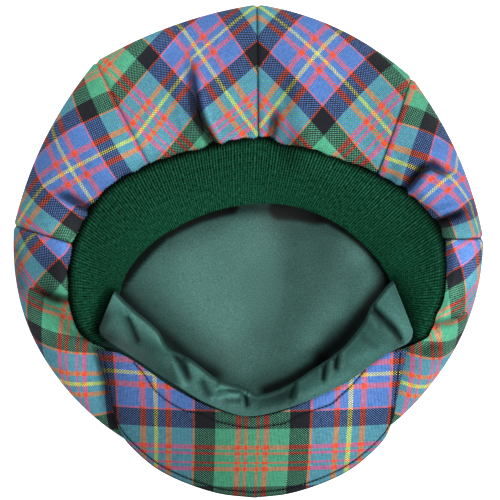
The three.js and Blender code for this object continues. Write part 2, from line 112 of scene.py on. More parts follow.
# Every pin is a place on the panel, from the centre, with the numbers of the warp and weft yarns
# that cross there. A lay past a fold has its own pins.
PANELS = [
    dict(node="crown_side_right", start=0, end=44.5, sag=3.8, columns=110, lays=[
        dict(fold=None, pins=[
            (79.9, 44.7, -86, 0), (81.3, 52.2, -86, -13), (76.7, 39.1, -86, 13), (88.4, 41.2, -62, 0),
            (99.5, 39.8, -39.5, 0), (101.6, 44.7, -39.5, -13), (107.2, 57.5, -39.5, -39.5),
            (102.6, 65, -51.5, -51.5), (86.3, 65.7, -86, -39.5), (112.6, 39.1, -13, -13),
            (116.1, 53.6, -13, -39.5), (89.5, 34.5, -62, 13), (118.6, 37.3, 0, -13)]),
        dict(fold="side_right_upper", pins=[
            (114.4, 35, 0, 0), (111.9, 27.3, 13, 13), (122.5, 34.8, 13, -13), (118.6, 37.3, 0, -13),
            (124.7, 21.3, 39.5, 0), (111.5, 12.8, 39.5, 39.5), (98, 21.3, 0, 39.5),
            (103.7, 17, 13, 39.5), (94.1, 23.8, -13, 39.5), (128.9, 23.8, 39.5, -13),
            (108, 31.3, 0, 13), (118.6, 30.9, 13, 0), (129.3, 11.7, 62, 0)]),
        dict(fold="side_right_lower", pins=[
            (124.7, 21.3, 39.5, 0), (129.3, 11.7, 62, 0), (116.3, 6.9, 62, 39.5),
            (128.9, 23.8, 39.5, -13), (131.1, 1.7, 86, 0), (117.5, 0.6, 80, 39.5),
            (123.5, 6.9, 62, 18)])]),
    dict(node="crown_back_right", start=44.5, end=88, sag=2.2, columns=110, lays=[
        dict(fold=None, pins=[
            (39.2, 105.7, 0, 0), (26.9, 91, 0, 39.5), (53.6, 89.9, 39.5, 0), (23.4, 119.4, -39.5, 0),
            (50, 116.8, 0, -39.5), (38.1, 115.2, -13, -13), (48, 104.1, 13, -13), (40.1, 95.6, 13, 13),
            (30.8, 105.6, -13, 13), (19.7, 115.2, -39.5, 13), (26.2, 123.7, -39.5, -13),
            (22.7, 95.6, -13, 39.5), (31.9, 86, 13, 39.5), (41.6, 75, 39.5, 39.5),
            (49.7, 84.6, 39.5, 13), (58, 94.3, 39.5, -13), (66.4, 103.4, 39.5, -39.5),
            (12.3, 104.7, -39.5, 39.5), (57.5, 112.1, 13, -39.5), (42.4, 67.2, 51.5, 51.5),
            (73.5, 100.5, 51.5, -51.5), (75.3, 75.7, 86, -13), (67.1, 66.4, 86, 13),
            (74.9, 57.9, 108, 13), (71.4, 71.1, 86, 0), (58.2, 56.5, 86, 39.5), (65.7, 47.3, 108, 39.5),
            (26.9, 59, 39.5, 86), (19.1, 69.7, 13, 86), (15.2, 73.2, 0, 86)])]),
    dict(node="crown_back_left", start=88, end=131, sag=4.5, columns=110, lays=[
        dict(fold=None, pins=[
            (-28.4, 106.8, 0, 0), (-26.1, 115.6, 13, -13), (-20.2, 105.9, 13, 13),
            (-30.3, 97.9, -13, 13), (-15.2, 124.7, 39.5, -13), (-9.9, 116.2, 39.5, 13),
            (-3.4, 105.7, 39.5, 39.5), (-14.3, 96.7, 13, 39.5), (-23.8, 86.9, -13, 39.5),
            (-19.1, 91.2, 0, 39.5), (-12.8, 119.6, 39.5, 0), (-2.6, 78.8, 13, 86),
            (-12.5, 70.3, -13, 86), (-8, 75.1, 0, 86), (-6.2, 62.9, -13, 108), (0.9, 65.4, 0, 108),
            (-37.8, 119.4, 0, -39.5), (-32.4, 122.9, 13, -39.5)]),
        dict(fold="back_left", pins=[
            (-34.4, 105.2, -13, -13), (-42.3, 114.8, -13, -39.5), (-37.8, 119.4, 0, -39.5),
            (-50.9, 104.8, -39.5, -39.5), (-42.4, 95.7, -39.5, -13), (-38.7, 91, -39.5, 0),
            (-35.6, 86.7, -39.5, 13), (-56.3, 76.4, -86, -13), (-52, 72.8, -86, 0),
            (-48.1, 69.3, -86, 13), (-39.2, 59, -86, 39.5), (-65.9, 65.4, -116, -13),
            (-58, 56.9, -116, 13), (-65.5, 85.9, -86, -39.5), (-58, 103.4, -51.5, -51.5),
            (-63, 68.2, -108, -13)])]),
    dict(node="crown_side_left", start=131, end=177, sag=4.2, columns=110, lays=[
        dict(fold=None, pins=[
            (-100.7, 38.7, 0, 0), (-84.7, 47.4, 39.5, 0), (-116.3, 29.4, -39.5, 0),
            (-94.7, 64.7, 39.5, -39.5), (-75.4, 33.4, 39.5, 39.5), (-105.3, 59.3, 13, -39.5),
            (-110.1, 56.1, 0, -39.5), (-114.4, 52.9, -13, -39.5), (-87.7, 52.9, 39.5, -13),
            (-81.5, 41.9, 39.5, 13), (-99.3, 47.3, 13, -13), (-92.5, 36.4, 13, 13),
            (-109.2, 41.2, -13, -13), (-102.5, 30.2, -13, 13), (-120.1, 34.5, -39.5, -13),
            (-89, 21.3, 0, 39.5), (-84.7, 24.5, 13, 39.5), (-92.1, 72.1, 51.5, -51.5),
            (-75.3, 75, 86, -39.5), (-68.7, 62.2, 86, -13), (-62.6, 49.8, 86, 13),
            (-65.9, 55.8, 86, 0)]),
        dict(fold="side_left", pins=[
            (-116.3, 29.4, -39.5, 0), (-111.4, 24.2, -39.5, 13), (-120.1, 34.5, -39.5, -13),
            (-101, 15.6, -39.5, 39.5), (-99.6, 8.9, -51.5, 51.5), (-124.5, 9.2, -86, 13),
            (-112.1, 1, -86, 39.5), (-123.8, 23.1, -60, 0), (-128.8, 13.8, -84, 0)])]),
    dict(node="crown_front_left", start=177, end=269, sag=0, columns=180, lays=[
        dict(fold=None, pins=[
            (-108.3, -11.8, 39.5, 39.5), (-106.3, -25.6, 62, 62), (-113.7, -19.6, 62, 41),
            (-120.8, -26.1, 86, 39.5), (-129.9, -15.3, 86, 13), (-116.6, -2.2, 39.5, 13),
            (-126.5, -3.1, 62, 0), (-123.7, -7.4, 62, 13), (-102.9, -17, 39.5, 58),
            (-101.2, -4.8, 17, 39.5)]),
        dict(fold="front_left", pins=[
            (-126.8, -34.7, 116, 39.5), (-115.4, -40.1, 116, 62), (-105.8, -45.7, 116, 86),
            (-102.1, -48, 116, 94), (-118.8, -50.3, 140, 62), (-109.7, -53.4, 140, 83),
            (-121.1, -54, 150.5, 51.5), (-121.7, -49.2, 140, 53), (-108.6, -64, 162.5, 86),
            (-93.3, -64, 162.5, 116), (-104, -77.5, 189, 94), (-97.2, -77.2, 189, 108),
            (-93.3, -77.2, 189, 116), (-97.2, -83.2, 202, 108), (-93.3, -83.2, 202, 116),
            (-96.5, -89.3, 215, 108), (-93.3, -89.3, 215, 116), (-84.1, -101.7, 241.5, 134),
            (-126.8, -42.1, 130, 43), (-124.5, -52.3, 148, 46)])]),
    dict(node="crown_front_right", start=269, end=360, sag=0, columns=180, lays=[
        dict(fold=None, pins=[
            (121.5, -16.4, 39.5, 39.5), (115.5, -6.2, 13, 39.5), (130, -9.1, 39.5, 13),
            (122.3, -24.4, 62, 41), (113.8, -29, 62, 62), (112.1, -22.1, 41, 60), (129.7, -17, 62, 20),
            (121.8, -33.2, 86, 39.5), (114.4, -37.2, 86, 62), (130.3, -25, 86, 18),
            (123.2, -37.5, 94, 39.5)]),
        dict(fold="front_right", pins=[
            (125.4, -42.3, 116, 40), (117.8, -47.5, 116, 62), (108.1, -50.6, 116, 86),
            (118.9, -56.8, 140, 62), (109.2, -57.4, 140, 83), (109, -68.2, 162.5, 86),
            (104.7, -68.2, 162.5, 94), (98, -66.5, 162.5, 108), (93, -65.8, 162.5, 116),
            (92.7, -78.6, 189, 116), (97, -79.3, 189, 108), (102.6, -79.6, 189, 94),
            (92.3, -84.7, 202, 116), (96.6, -85, 202, 108), (90.9, -90.3, 215, 116),
            (95.2, -90.7, 215, 108)])]),
]
PIN_SPAN = 30.0
PIN_MARGIN = 0.1
BEND_HOLD = 0.3
STEEP_SHARE = 0.8
FOLD_REACH = 60.0
FOLD_BLEND = (0.4, 9.0)
CROWN_ROWS = dict(floor=8, edge=22, top=72)
SEAM_CROWDING = 0.45

# Small forms of the sewn cloth: rolled seams with puckers, ruffles by the band, and slack between.
SEAM_DEPTH = 1.5
SEAM_ROLL = 1.2
SEAM_ROLL_POWER = 1.5
PUCKER = dict(step=1.35, sway=1.7, sway_step=5.1)
PUCKER_HEIGHT = 0.35
PUCKER_REACH = 5.0
OPENING_RADIUS = 80.0
RUFFLE = dict(step=1.9, sway=1.5, sway_step=7.3)
RUFFLE_BETWEEN = dict(step=3.4, phase=2)
RUFFLE_SHARE = 0.7
RUFFLE_HEIGHT = 0.55
RUFFLE_REACH = 9.0
SLACK = named_rows("around along phase", (11, 17, 0), (17, -9, 1.3))
SLACK_HEIGHT = 0.45
OFF_FLOOR = (1.05, 1.6)
ON_TOP = (2.05, 2.5)
# The stretch where the band is sewn on, in degrees, and how the cloth rolls in towards it.
BAND_MIDDLE = 103.0
BAND_REACH = 113.0
BAND_BLEND = 4.0
ROLL_IN = 3.0
ROLL_REACH = 3.2
# Painted shade along the cloth's edge by the band and in the creases, and the width of the seam lines.
BAND_SHADE = 0.7
BAND_LINE = 1.2
CREASE_SHADE = 0.75
CREASE_FULL = 4.0
SEAM_LINE = 0.55
# How dark the line of each seam is, by the angle of the seam.
SEAM_SHADES = {0: 0.9, 44.5: 0.9, 88: 0.9, 131: 0.4, 177: 0.9, 269: 0.75, 360: 0.9}
# Where the cloth turns from the light and, with a strength below zero, where it turns to it.
CROWN_SHADES = named_rows(
    "strength width line",
    (0.6, 2, [(-121.1, -29.4), (-115.4, -33.4), (-109.7, -35.7), (-104, -36.8)]),
    (0.25, 6.5, [(-112, -11.3), (-109.7, -23.8), (-107.5, -35.2), (-102.9, -46.6), (-96.1, -56.8)]),
    (0.35, 4.5, [(23.4, 87.1), (23.4, 72.9), (24.5, 58.6), (26, 50)]),
    (-0.6, 5.5, [(114.4, -29.5), (110.4, -39.8), (107, -47.7), (103, -55.7), (98.4, -59.7)]),
    (-0.3, 3, [(-27, 78), (-22, 65), (-16, 56), (-5, 54)]),
    (-0.35, 4, [(-8, 57), (10.5, 57)]),
    (-0.25, 8, [(38, 56), (55, 49), (70, 40)]),
    (-0.15, 14, [(-84, 92), (-97, 68)]),
    (-0.2, 9, [(-72, 47), (-50, 52)]),
    (0.25, 4, [(-36, 74), (-32, 65)]),
    (-0.3, 3.5, [(14, 61), (14, 55)]),
    (0.42, 5, [(-114, -38), (-107, -42), (-104, -48)]),
    (-0.3, 5, [(-103, 4), (-101, -12), (-103, -28)]),
    (0.12, 10, [(18, 100), (20, 80)]),
    (0.13, 12, [(78, 78), (76, 62)]),
    (-0.45, 6, [(126, -6), (125, -22)]),
    (-0.35, 5, [(114, -4), (113.5, -18), (114.4, -29.5)]),
    (-0.4, 5, [(-122, -44), (-118, -54)]),
    (0.4, 5, [(-133, -8), (-131, -28)]),
    (0.2, 6, [(-116, -16), (-113, -26)]),
    (-0.25, 6, [(-99, 12), (-98, -10), (-97, -25), (-94, -46)]),
    (-0.35, 4, [(-31, 86), (-30, 80)]),
    (-0.25, 9, [(-66, 105), (-48, 115)]),
    (0.2, 8, [(-93, 42), (-91, 33)]),
    (-0.25, 6, [(38, 51), (50, 44)]),
    (0.2, 4, [(28, 60), (25, 54)]),
    (0.25, 6, [(98, -62), (106, -66)]),
)


def curve_through(rows, key, at, period=None):
    """Every column of a table at the given values of its key column, on smooth curves."""
    names = [name for name in rows[0] if name != key]
    keys = np.array([row[key] for row in rows], float)
    table = np.array([[row[name] for name in names] for row in rows], float)
    at = np.asarray(at, float)
    if period:
        at = np.mod(at, period)
        keys = np.concatenate([keys[-2:] - period, keys, keys[:3] + period])
        table = np.concatenate([table[-2:], table, table[:3]])
    slope = np.gradient(table, axis=0) / np.gradient(keys)[:, None]
    low = np.clip(np.searchsorted(keys, at, side="right") - 1, 0, len(keys) - 2)
    width = (keys[low + 1] - keys[low])[..., None]
    t = np.clip((at - keys[low])[..., None] / width, 0, 1)
    leave, arrive = slope[low] * width, slope[low + 1] * width
    value = ((1 - t) ** 2 * (1 + 2 * t) * table[low] + t * (1 - t) ** 2 * leave
             + t ** 2 * (3 - 2 * t) * table[low + 1] + t ** 2 * (t - 1) * arrive)
    return {name: value[..., k] for k, name in enumerate(names)}


def ease(value, low, high):
    """0 below low, 1 above high, smooth between."""
    t = np.clip((value - low) / (high - low), 0, 1)
    return t * t * (3 - 2 * t)


def bell(distance, width):
    """1 on a line, and less with the distance from it, over about the given width."""
    return np.exp(-((distance / width) ** 2))


def unit(vectors):
    """Vectors brought to a length of 1."""
    return vectors / np.linalg.norm(vectors, axis=-1, keepdims=True)


def from_centre(points):
    """Level places of points, measured from the crown's centre."""
    return points[..., :2] - np.array([0, CROWN_CENTRE_Y])


def beside_line(plan, line, reach=0):
    """Distance of places from a line, signed by its side, and how far along the line they are (0 to 1)."""
    line = np.array(line, float)
    if reach:
        ends = [line[0] + unit(line[0] - line[1]) * reach, line[-1] + unit(line[-1] - line[-2]) * reach]
        line = np.concatenate([ends[:1], line, ends[1:]])
    steps = np.linalg.norm(np.diff(line, axis=0), axis=1)
    total = steps.sum()
    best = np.full(plan.shape[:-1], 1e9)
    side = np.zeros_like(best)
    along = np.zeros_like(best)
    before = 0
    for a, b, step in zip(line[:-1], line[1:], steps):
        way = (b - a) / step
        offset = plan - a
        t = np.clip(offset @ way, 0, step)
        gap = np.linalg.norm(offset - t[..., None] * way, axis=-1)
        nearer = gap < best
        cross = way[0] * offset[..., 1] - way[1] * offset[..., 0]
        best = np.where(nearer, gap, best)
        side = np.where(nearer, np.where(cross < 0, -1, 1), side)
        along = np.where(nearer, (before + t) / total, along)
        before += step
    return best * side, along


def side_reach(row, gap):
    """How far a row of a table reaches, on the side of its line where each place lies."""
    right, left = np.broadcast_to(row["width"], 2)
    return np.where(gap > 0, left, right)


def crease_depth(plan, folds, fade=0.6, tail=0):
    """Depth of creases at places, with a low ridge on both sides. They fade in, and out by the tail."""
    depth = np.zeros(plan.shape[:-1])
    for fold in folds:
        gap, along = beside_line(plan, fold["line"])
        across = gap / side_reach(fold, gap)
        ridges = bell(across - RIDGE_AT, RIDGE_WIDTH) + bell(across + RIDGE_AT, RIDGE_WIDTH)
        reach = ease(along, FADE_FROM, fade) * (1 - tail * ease(along, TAIL_FROM, 1))
        depth += fold["depth"] * reach * (bell(across, 1) - RIDGE_SHARE * ridges)
    return depth


def soft_shade(plan, shades):
    """1 in the open, less near lines where the cloth is kept from the light, more where it meets it."""
    light = np.ones(plan.shape[:-1])
    for row in shades:
        gap = beside_line(plan, row["line"])[0]
        share = (np.abs(gap) / side_reach(row, gap)) ** row.get("fall", 2)
        light *= 1 - row["strength"] * np.exp(-share)
    return light


def crown_section(angle):
    """The crown's section at angles, and the places there of the seam round the head opening."""
    section = curve_through(SECTIONS, "angle", angle, FULL_TURN)
    return section, np.stack([section["seam_x"], section["seam_y"]], axis=-1)


def bowl_grid(angle, v, rim, rim_z, seam, climb, puff=0, tuck=0, floor=0, hole=0):
    """Points of a bowl. v is 0 to 1 on its floor, to 2 round the edge, and to 3 up at the seam."""
    cosine, sine = np.cos(np.radians(angle)), np.sin(np.radians(angle))
    v = v[:, None]
    turn = (v - np.clip(np.floor(v), 0, 2)) * math.pi / 2
    run = 1 - np.cos(turn)
    flat = rim - RIM_RUN
    reach = np.where(v < 1, hole + (flat - hole) * v, flat + RIM_RUN * np.sin(turn))
    lower_z = np.where(v < 1, floor, floor + (rim_z - floor) * run)
    upper_x = cosine * rim + (seam[:, 0] - cosine * rim) * run
    upper_y = sine * rim + (seam[:, 1] - sine * rim) * run
    swell = puff * np.sin(math.pi * run) - tuck * ease(run, TUCK_FROM, 1)
    upper_z = rim_z + climb * np.sin(turn) + swell
    upper = v >= 2
    x = np.where(upper, upper_x, cosine * reach)
    y = np.where(upper, upper_y, sine * reach)
    return np.stack([x, y + CROWN_CENTRE_Y, np.where(upper, upper_z, lower_z)], axis=-1)


def bowl_rows(floor, edge, top):
    """Rows of a bowl, from counts of rows on its floor, round its edge and up to its seam."""
    flat, round_edge, upper = np.linspace(0, 1, floor), np.linspace(1, 2, edge), np.linspace(2, 3, top)
    return np.concatenate([flat[:-1], round_edge[:-1], upper])


def crown_grid(angle, v, sag):
    """Points of the crown's outside. Between its seams, a panel's edge sags in from the round."""
    section, seam = crown_section(angle)
    climb = section["seam_z"] - section["rim_z"]
    return bowl_grid(angle, v, section["rim"] - sag, section["rim_z"], seam, climb,
                     section["puff"], section["tuck"], hole=TOP_HOLE)


def grid_normals(grid):
    """Outward normals of a grid of points, by its own differences."""
    normal = np.cross(np.gradient(grid, axis=1), np.gradient(grid, axis=0))
    return normal / np.maximum(np.linalg.norm(normal, axis=-1, keepdims=True), 1e-9)


def path_length(grid, axis):
    """Distance along a grid's rows or columns from its first point."""
    steps = np.linalg.norm(np.diff(grid, axis=axis), axis=-1)
    start = np.zeros_like(np.take(steps, [0], axis=axis))
    return np.concatenate([start, np.cumsum(steps, axis=axis)], axis=axis)


def uneven_wave(at, step, sway=0, sway_step=1, phase=0):
    """A wave along a length, with steps that sway a little, so that no two are alike."""
    return np.sin(at / step + sway * np.sin(at / sway_step) + phase)


def crown_relief(grid, angle, v):
    """Forms of the sewn cloth: heights along the normal, drops into creases, and painted light and shade.
    """
    along, around = path_length(grid, 0), path_length(grid, 1)
    to_seam = np.minimum(around, around[:, -1:] - around)
    to_band = along[-1:] - along
    off_floor, on_top = ease(v, *OFF_FLOOR)[:, None], ease(v, *ON_TOP)[:, None]
    roll = -SEAM_DEPTH * np.exp(-((to_seam / SEAM_ROLL) ** SEAM_ROLL_POWER))
    pucker = PUCKER_HEIGHT * uneven_wave(along, **PUCKER) * np.exp(-to_seam / PUCKER_REACH)
    ring = np.radians(angle)[None, :] * OPENING_RADIUS
    ruffle = uneven_wave(ring, **RUFFLE) + RUFFLE_SHARE * uneven_wave(ring, **RUFFLE_BETWEEN)
    ruffle = RUFFLE_HEIGHT * ruffle * np.exp(-to_band / RUFFLE_REACH)
    slack = sum(np.sin(ring / wave["around"] + along / wave["along"] + wave["phase"]) for wave in SLACK)
    height = off_floor * (roll + pucker) + on_top * (ruffle + SLACK_HEIGHT * slack)
    plan = from_centre(grid)
    on_upper = (v >= 2)[:, None]
    creased = np.where(on_upper, crease_depth(plan, FOLDS.values()), 0)
    off_middle = np.abs((angle - BAND_MIDDLE + FULL_TURN / 2) % FULL_TURN - FULL_TURN / 2)
    banded = ease(off_middle, BAND_REACH + BAND_BLEND, BAND_REACH - BAND_BLEND)
    tucked = banded * ROLL_IN * bell(to_band, ROLL_REACH)
    drop = creased * (1 - CREASE_CLOSE * bell(to_band, CREASE_CLOSE_REACH)) + tucked
    dark = np.where(around < around[:, -1:] / 2, SEAM_SHADES[angle[0]], SEAM_SHADES[angle[-1]])
    light = 1 - dark * bell(to_seam, SEAM_LINE) * off_floor
    light *= 1 - BAND_SHADE * banded * bell(to_band, BAND_LINE)
    light *= 1 - CREASE_SHADE * np.clip(creased / CREASE_FULL, 0, 1)
    light *= np.where(on_upper, soft_shade(plan, CROWN_SHADES), 1)
    return height, drop, light


def new_object(name, data):
    """An object in the scene for a mesh, a lamp or a camera."""
    made = bpy.data.objects.new(name, data)
    bpy.context.scene.collection.objects.link(made)
    return made


def store_values(mesh, label, values):
    """Keeps values on a mesh's points: one column as numbers, two as vectors."""
    if values.shape[1] == 1:
        store = mesh.attributes.new(label, "FLOAT", "POINT")
        store.data.foreach_set("value", values.ravel())
        return
    store = mesh.attributes.new(label, "FLOAT_VECTOR", "POINT")
    store.data.foreach_set("vector", np.column_stack([values, np.zeros(len(values))]).ravel())


def smooth_object(name, points, faces, attributes):
    """A smooth mesh object in metres from points in millimetres, with the values that they keep."""
    mesh = bpy.data.meshes.new(name)
    mesh.from_pydata((points * MM).tolist(), [], faces)
    for label, values in attributes.items():
        store_values(mesh, label, values)
    mesh.polygons.foreach_set("use_smooth", [True] * len(mesh.polygons))
    mesh.validate()
    return new_object(name, mesh)


def wall_mesh(name, front, back, attributes, ring=False, pole=False):
    """A closed wall between two grids of points. A ring joins its sides, and a pole its first row."""
    rows, columns = front.shape[:2]
    half = rows * columns
    index = np.arange(half).reshape(rows, columns)
    if pole:
        index[0] = index[0, 0]
    if ring:
        index = np.concatenate([index, index[:, :1]], axis=1)

    def strip(a, b, c, d):
        return np.stack([a.ravel(), b.ravel(), c.ravel(), d.ravel()], axis=1)

    def border(a, b):
        return strip(a, b, b + half, a + half)

    a, b, c, d = index[:-1, :-1], index[:-1, 1:], index[1:, 1:], index[1:, :-1]
    quads = [strip(a, b, c, d), strip(b, a, d, c) + half, border(index[-1, :-1], index[-1, 1:])]
    if not pole:
        quads.append(border(index[0, 1:], index[0, :-1]))
    if not ring:
        quads.append(border(index[:-1, 0], index[1:, 0]))
        quads.append(border(index[1:, -1], index[:-1, -1]))
    faces = [list(dict.fromkeys(quad)) for quad in np.concatenate(quads).tolist()]
    points = np.concatenate([front.reshape(-1, 3), back.reshape(-1, 3)])
    both = {label: np.tile(values.reshape(half, -1), (2, 1)) for label, values in attributes.items()}
    return smooth_object(name, points, faces, both)


def fitted_counts(pins, laid):
    """Yarn numbers over laid-out places: a smooth bend through the pins, going on straight outside them."""
    pins = np.array(pins, float)
    middle = pins[:, :2].mean(0)

    def terms(u):
        x, y = u[..., 0], u[..., 1]
        return np.stack([np.ones_like(x), x, y, x * x, x * y, y * y], axis=-1)

    known = (pins[:, :2] - middle) / PIN_SPAN
    hold = np.diag([0, 0, 0, BEND_HOLD, BEND_HOLD, BEND_HOLD])
    wanted = np.concatenate([pins[:, 2:], np.zeros((len(hold), 2))])
    weights = np.linalg.lstsq(np.concatenate([terms(known), hold]), wanted, rcond=None)[0]
    place = (laid - middle) / PIN_SPAN
    inner = np.clip(place, known.min(0) - PIN_MARGIN, known.max(0) + PIN_MARGIN)
    rest = place - inner
    x, y = inner[..., 0], inner[..., 1]
    zero, one = np.zeros_like(x), np.ones_like(x)
    slope_x = np.stack([zero, one, zero, 2 * x, y, zero], axis=-1) @ weights
    slope_y = np.stack([zero, zero, one, zero, x, 2 * y], axis=-1) @ weights
    return terms(inner) @ weights + slope_x * rest[..., :1] + slope_y * rest[..., 1:]


def thread_counts(panel, grid, v):
    """Warp and weft yarn numbers over a panel, from the pins that hold its check."""
    plan = from_centre(grid)
    rim_row = int(np.argmin(np.abs(v - 2)))
    flat = np.concatenate([plan, np.zeros_like(plan[..., :1])], axis=-1)
    arc, level = path_length(grid, 0), path_length(flat, 0)
    steep = STEEP_SHARE * ((arc[-1] - arc) - (level[-1] - level))
    outward = unit(plan[rim_row] - plan[-1])
    laid = plan + steep[..., None] * outward
    below = v < 2
    under = arc[rim_row] - arc[below]
    laid[below] = laid[rim_row] + under[..., None] * outward
    upper = np.where(below[:, None, None], 1e6, plan)
    counts = None
    for lay in panel["lays"]:
        pins = []
        for x, y, warp, weft in lay["pins"]:
            place = np.array([x, y])
            near = np.unravel_index(np.argmin(np.linalg.norm(upper - place, axis=-1)), upper.shape[:2])
            pins.append([*(laid[near] + place - plan[near]), warp, weft])
        here = fitted_counts(pins, laid)
        if counts is None:
            counts = here
            continue
        line = FOLDS[lay["fold"]]["line"]
        centre = np.array(lay["pins"])[:, :2].mean(0)[None]
        gap = beside_line(plan, line, FOLD_REACH)[0] * np.sign(beside_line(centre, line, FOLD_REACH)[0])
        start = np.linalg.norm(plan - np.array(line[0]), axis=-1)
        inside = np.abs(beside_line(plan, line)[0]) <= np.abs(gap) + 1e-6
        soft = np.where(inside, FOLD_BLEND[0], np.clip(start, *FOLD_BLEND))
        mix = np.clip(0.5 + 0.5 * gap / soft, 0, 1)[..., None]
        counts = counts * (1 - mix) + here * mix
    return counts


def add_node(tree, kind, inputs=None, **settings):
    """A node with its settings, and each input linked to a socket or set to a value."""
    made = tree.nodes.new(kind)
    for name, value in settings.items():
        setattr(made, name, value)
    for key, value in (inputs or {}).items():
        if isinstance(value, bpy.types.NodeSocket):
            tree.links.new(value, made.inputs[key])
        else:
            made.inputs[key].default_value = value
    return made


def calc(tree, operation, *values):
    """The result of one Math node."""
    return add_node(tree, "ShaderNodeMath", dict(enumerate(values)), operation=operation).outputs[0]


def stored(tree, label, output="Fac"):
    """What a mesh keeps at its points under a label."""
    return add_node(tree, "ShaderNodeAttribute", attribute_name=label).outputs[output]


def grain(tree, place, scale, detail=3.0):
    """Fine noise over a place."""
    return add_node(tree, "ShaderNodeTexNoise", {
        "Vector": place, "Scale": scale, "Detail": detail}).outputs["Fac"]


def spread(tree, value, low, high, new_low, new_high):
    """A value taken from one range to another."""
    return add_node(tree, "ShaderNodeMapRange", {
        "Value": value, "From Min": low, "From Max": high,
        "To Min": new_low, "To Max": new_high}).outputs[0]


def lit(tree, colour, value):
    """A colour made darker or lighter."""
    return add_node(tree, "ShaderNodeHueSaturation", {"Color": colour, "Value": value}).outputs[0]


def lightness(tree, colour):
    """How light a colour is."""
    return add_node(tree, "ShaderNodeRGBToBW", {0: colour}).outputs[0]


def blend(tree, share, first, second, how="MIX"):
    """Two colours mixed, or the second added to the first."""
    return add_node(tree, "ShaderNodeMix", {0: share, 6: first, 7: second},
                    data_type="RGBA", blend_type=how).outputs[2]


def new_group(name, kind, inputs, outputs):
    """A shader or geometry group with its named inputs and outputs."""
    group = bpy.data.node_groups.new(name, kind + "NodeTree")
    for in_out, sockets in (("INPUT", inputs), ("OUTPUT", outputs)):
        for label, socket in sockets.items():
            group.interface.new_socket(name=label, in_out=in_out, socket_type="NodeSocket" + socket)
    return group, group.nodes.new("NodeGroupInput"), group.nodes.new("NodeGroupOutput")


# Half of the tartan's repeat, from one pivot stripe to the other, as yarn counts and colours.
# The pins number the yarns in these counts, and the threads of the weave are finer than that.
THREADS_PER_COUNT = 1.4
YARN = dict(
    yellow=(0.62, 0.60, 0.085),
    blue=(0.081, 0.187, 0.485),
    red=(0.74, 0.082, 0.033),
    black=(0.010, 0.012, 0.016),
    green=(0.070, 0.345, 0.200),
)
SETT = [
    ("yellow", 2), ("blue", 8), ("red", 6), ("blue", 22), ("red", 3), ("black", 21),
    ("green", 21), ("red", 6), ("green", 4), ("red", 3), ("green", 5),
]
HALF_SETT = sum(count for colour, count in SETT)
# Each yarn is uneven along its own way, and rounded across it, with painted shade at its edges.
SLUBS = dict(X=(0.6, 0.12, 1.0), Y=(0.12, 0.6, 1.0))
GRAIN_RANGE = (0.3, 0.7)
SLUB_LIGHT = (0.7, 1.3)
BOW_LIGHT = 0.8
BOW_DARK = 0.5
BLACK_COVER = 0.4
BLACK_LIGHT = 0.05
FIBRE_MIX = 0.18
FLOAT_PAINTED_LIGHT = 1.5
FIBRE_GLINT = 0.02
MEAN_CROSSING = 4 / math.pi ** 2
TWILL_BUMP = 0.5
TWILL_DEPTH = 0.2

stripe, stripe_in, stripe_out = new_group(
    "Tartan stripe", "Shader", dict(Thread="Float"), dict(Colour="Color"))
folded = calc(stripe, "PINGPONG", stripe_in.outputs["Thread"], float(HALF_SETT))
ramp = add_node(stripe, "ShaderNodeValToRGB", {0: calc(stripe, "DIVIDE", folded, float(HALF_SETT))})
ramp.color_ramp.interpolation = "CONSTANT"
stops = ramp.color_ramp.elements
stops.remove(stops[1])
reached = 0
for place, (colour, count) in enumerate(SETT):
    stop = stops[0] if place == 0 else stops.new(reached / HALF_SETT)
    stop.position = reached / HALF_SETT
    stop.color = (*YARN[colour], 1)
    reached += count
stripe.links.new(ramp.outputs["Color"], stripe_out.inputs["Colour"])

twill, twill_in, twill_out = new_group(
    "Tartan twill", "Shader", dict(Threads="Vector"), dict(Colour="Color", Height="Float"))
split = add_node(twill, "ShaderNodeSeparateXYZ", {0: twill_in.outputs["Threads"]})
yarns, blacks, rounds, floats = [], [], [], []
for axis, slub in SLUBS.items():
    thread = calc(twill, "MULTIPLY", split.outputs[axis], THREADS_PER_COUNT)
    middle = calc(twill, "DIVIDE", calc(twill, "ADD", calc(twill, "FLOOR", thread), 0.5), THREADS_PER_COUNT)
    dye = add_node(twill, "ShaderNodeGroup", {"Thread": middle}, node_tree=stripe).outputs["Colour"]
    drawn = add_node(twill, "ShaderNodeMapping", {"Vector": twill_in.outputs["Threads"], "Scale": slub})
    uneven = spread(twill, grain(twill, drawn.outputs[0], 1.0), *GRAIN_RANGE, *SLUB_LIGHT)
    bow = calc(twill, "SINE", calc(twill, "MULTIPLY", calc(twill, "FRACT", thread), math.pi))
    shaded = calc(twill, "MULTIPLY", uneven, calc(twill, "MULTIPLY_ADD", bow, BOW_LIGHT, BOW_DARK))
    yarns.append(lit(twill, dye, shaded))
    blacks.append(calc(twill, "LESS_THAN", lightness(twill, dye), BLACK_LIGHT))
    rounds.append(bow)
    floats.append(calc(twill, "SINE", calc(twill, "MULTIPLY", thread, math.pi / 2)))
# Threads cross in pairs, and the black yarn is fuller than the others, so it covers more.
bias = calc(twill, "MULTIPLY", calc(twill, "SUBTRACT", blacks[0], blacks[1]), BLACK_COVER)
crossing = calc(twill, "MULTIPLY", floats[0], floats[1])
warp_up = calc(twill, "GREATER_THAN", calc(twill, "ADD", crossing, bias), 0.0)
woven = blend(twill, warp_up, yarns[1], yarns[0])
relief = add_node(twill, "ShaderNodeMix", {0: warp_up, 2: rounds[1], 3: rounds[0]}, data_type="FLOAT")
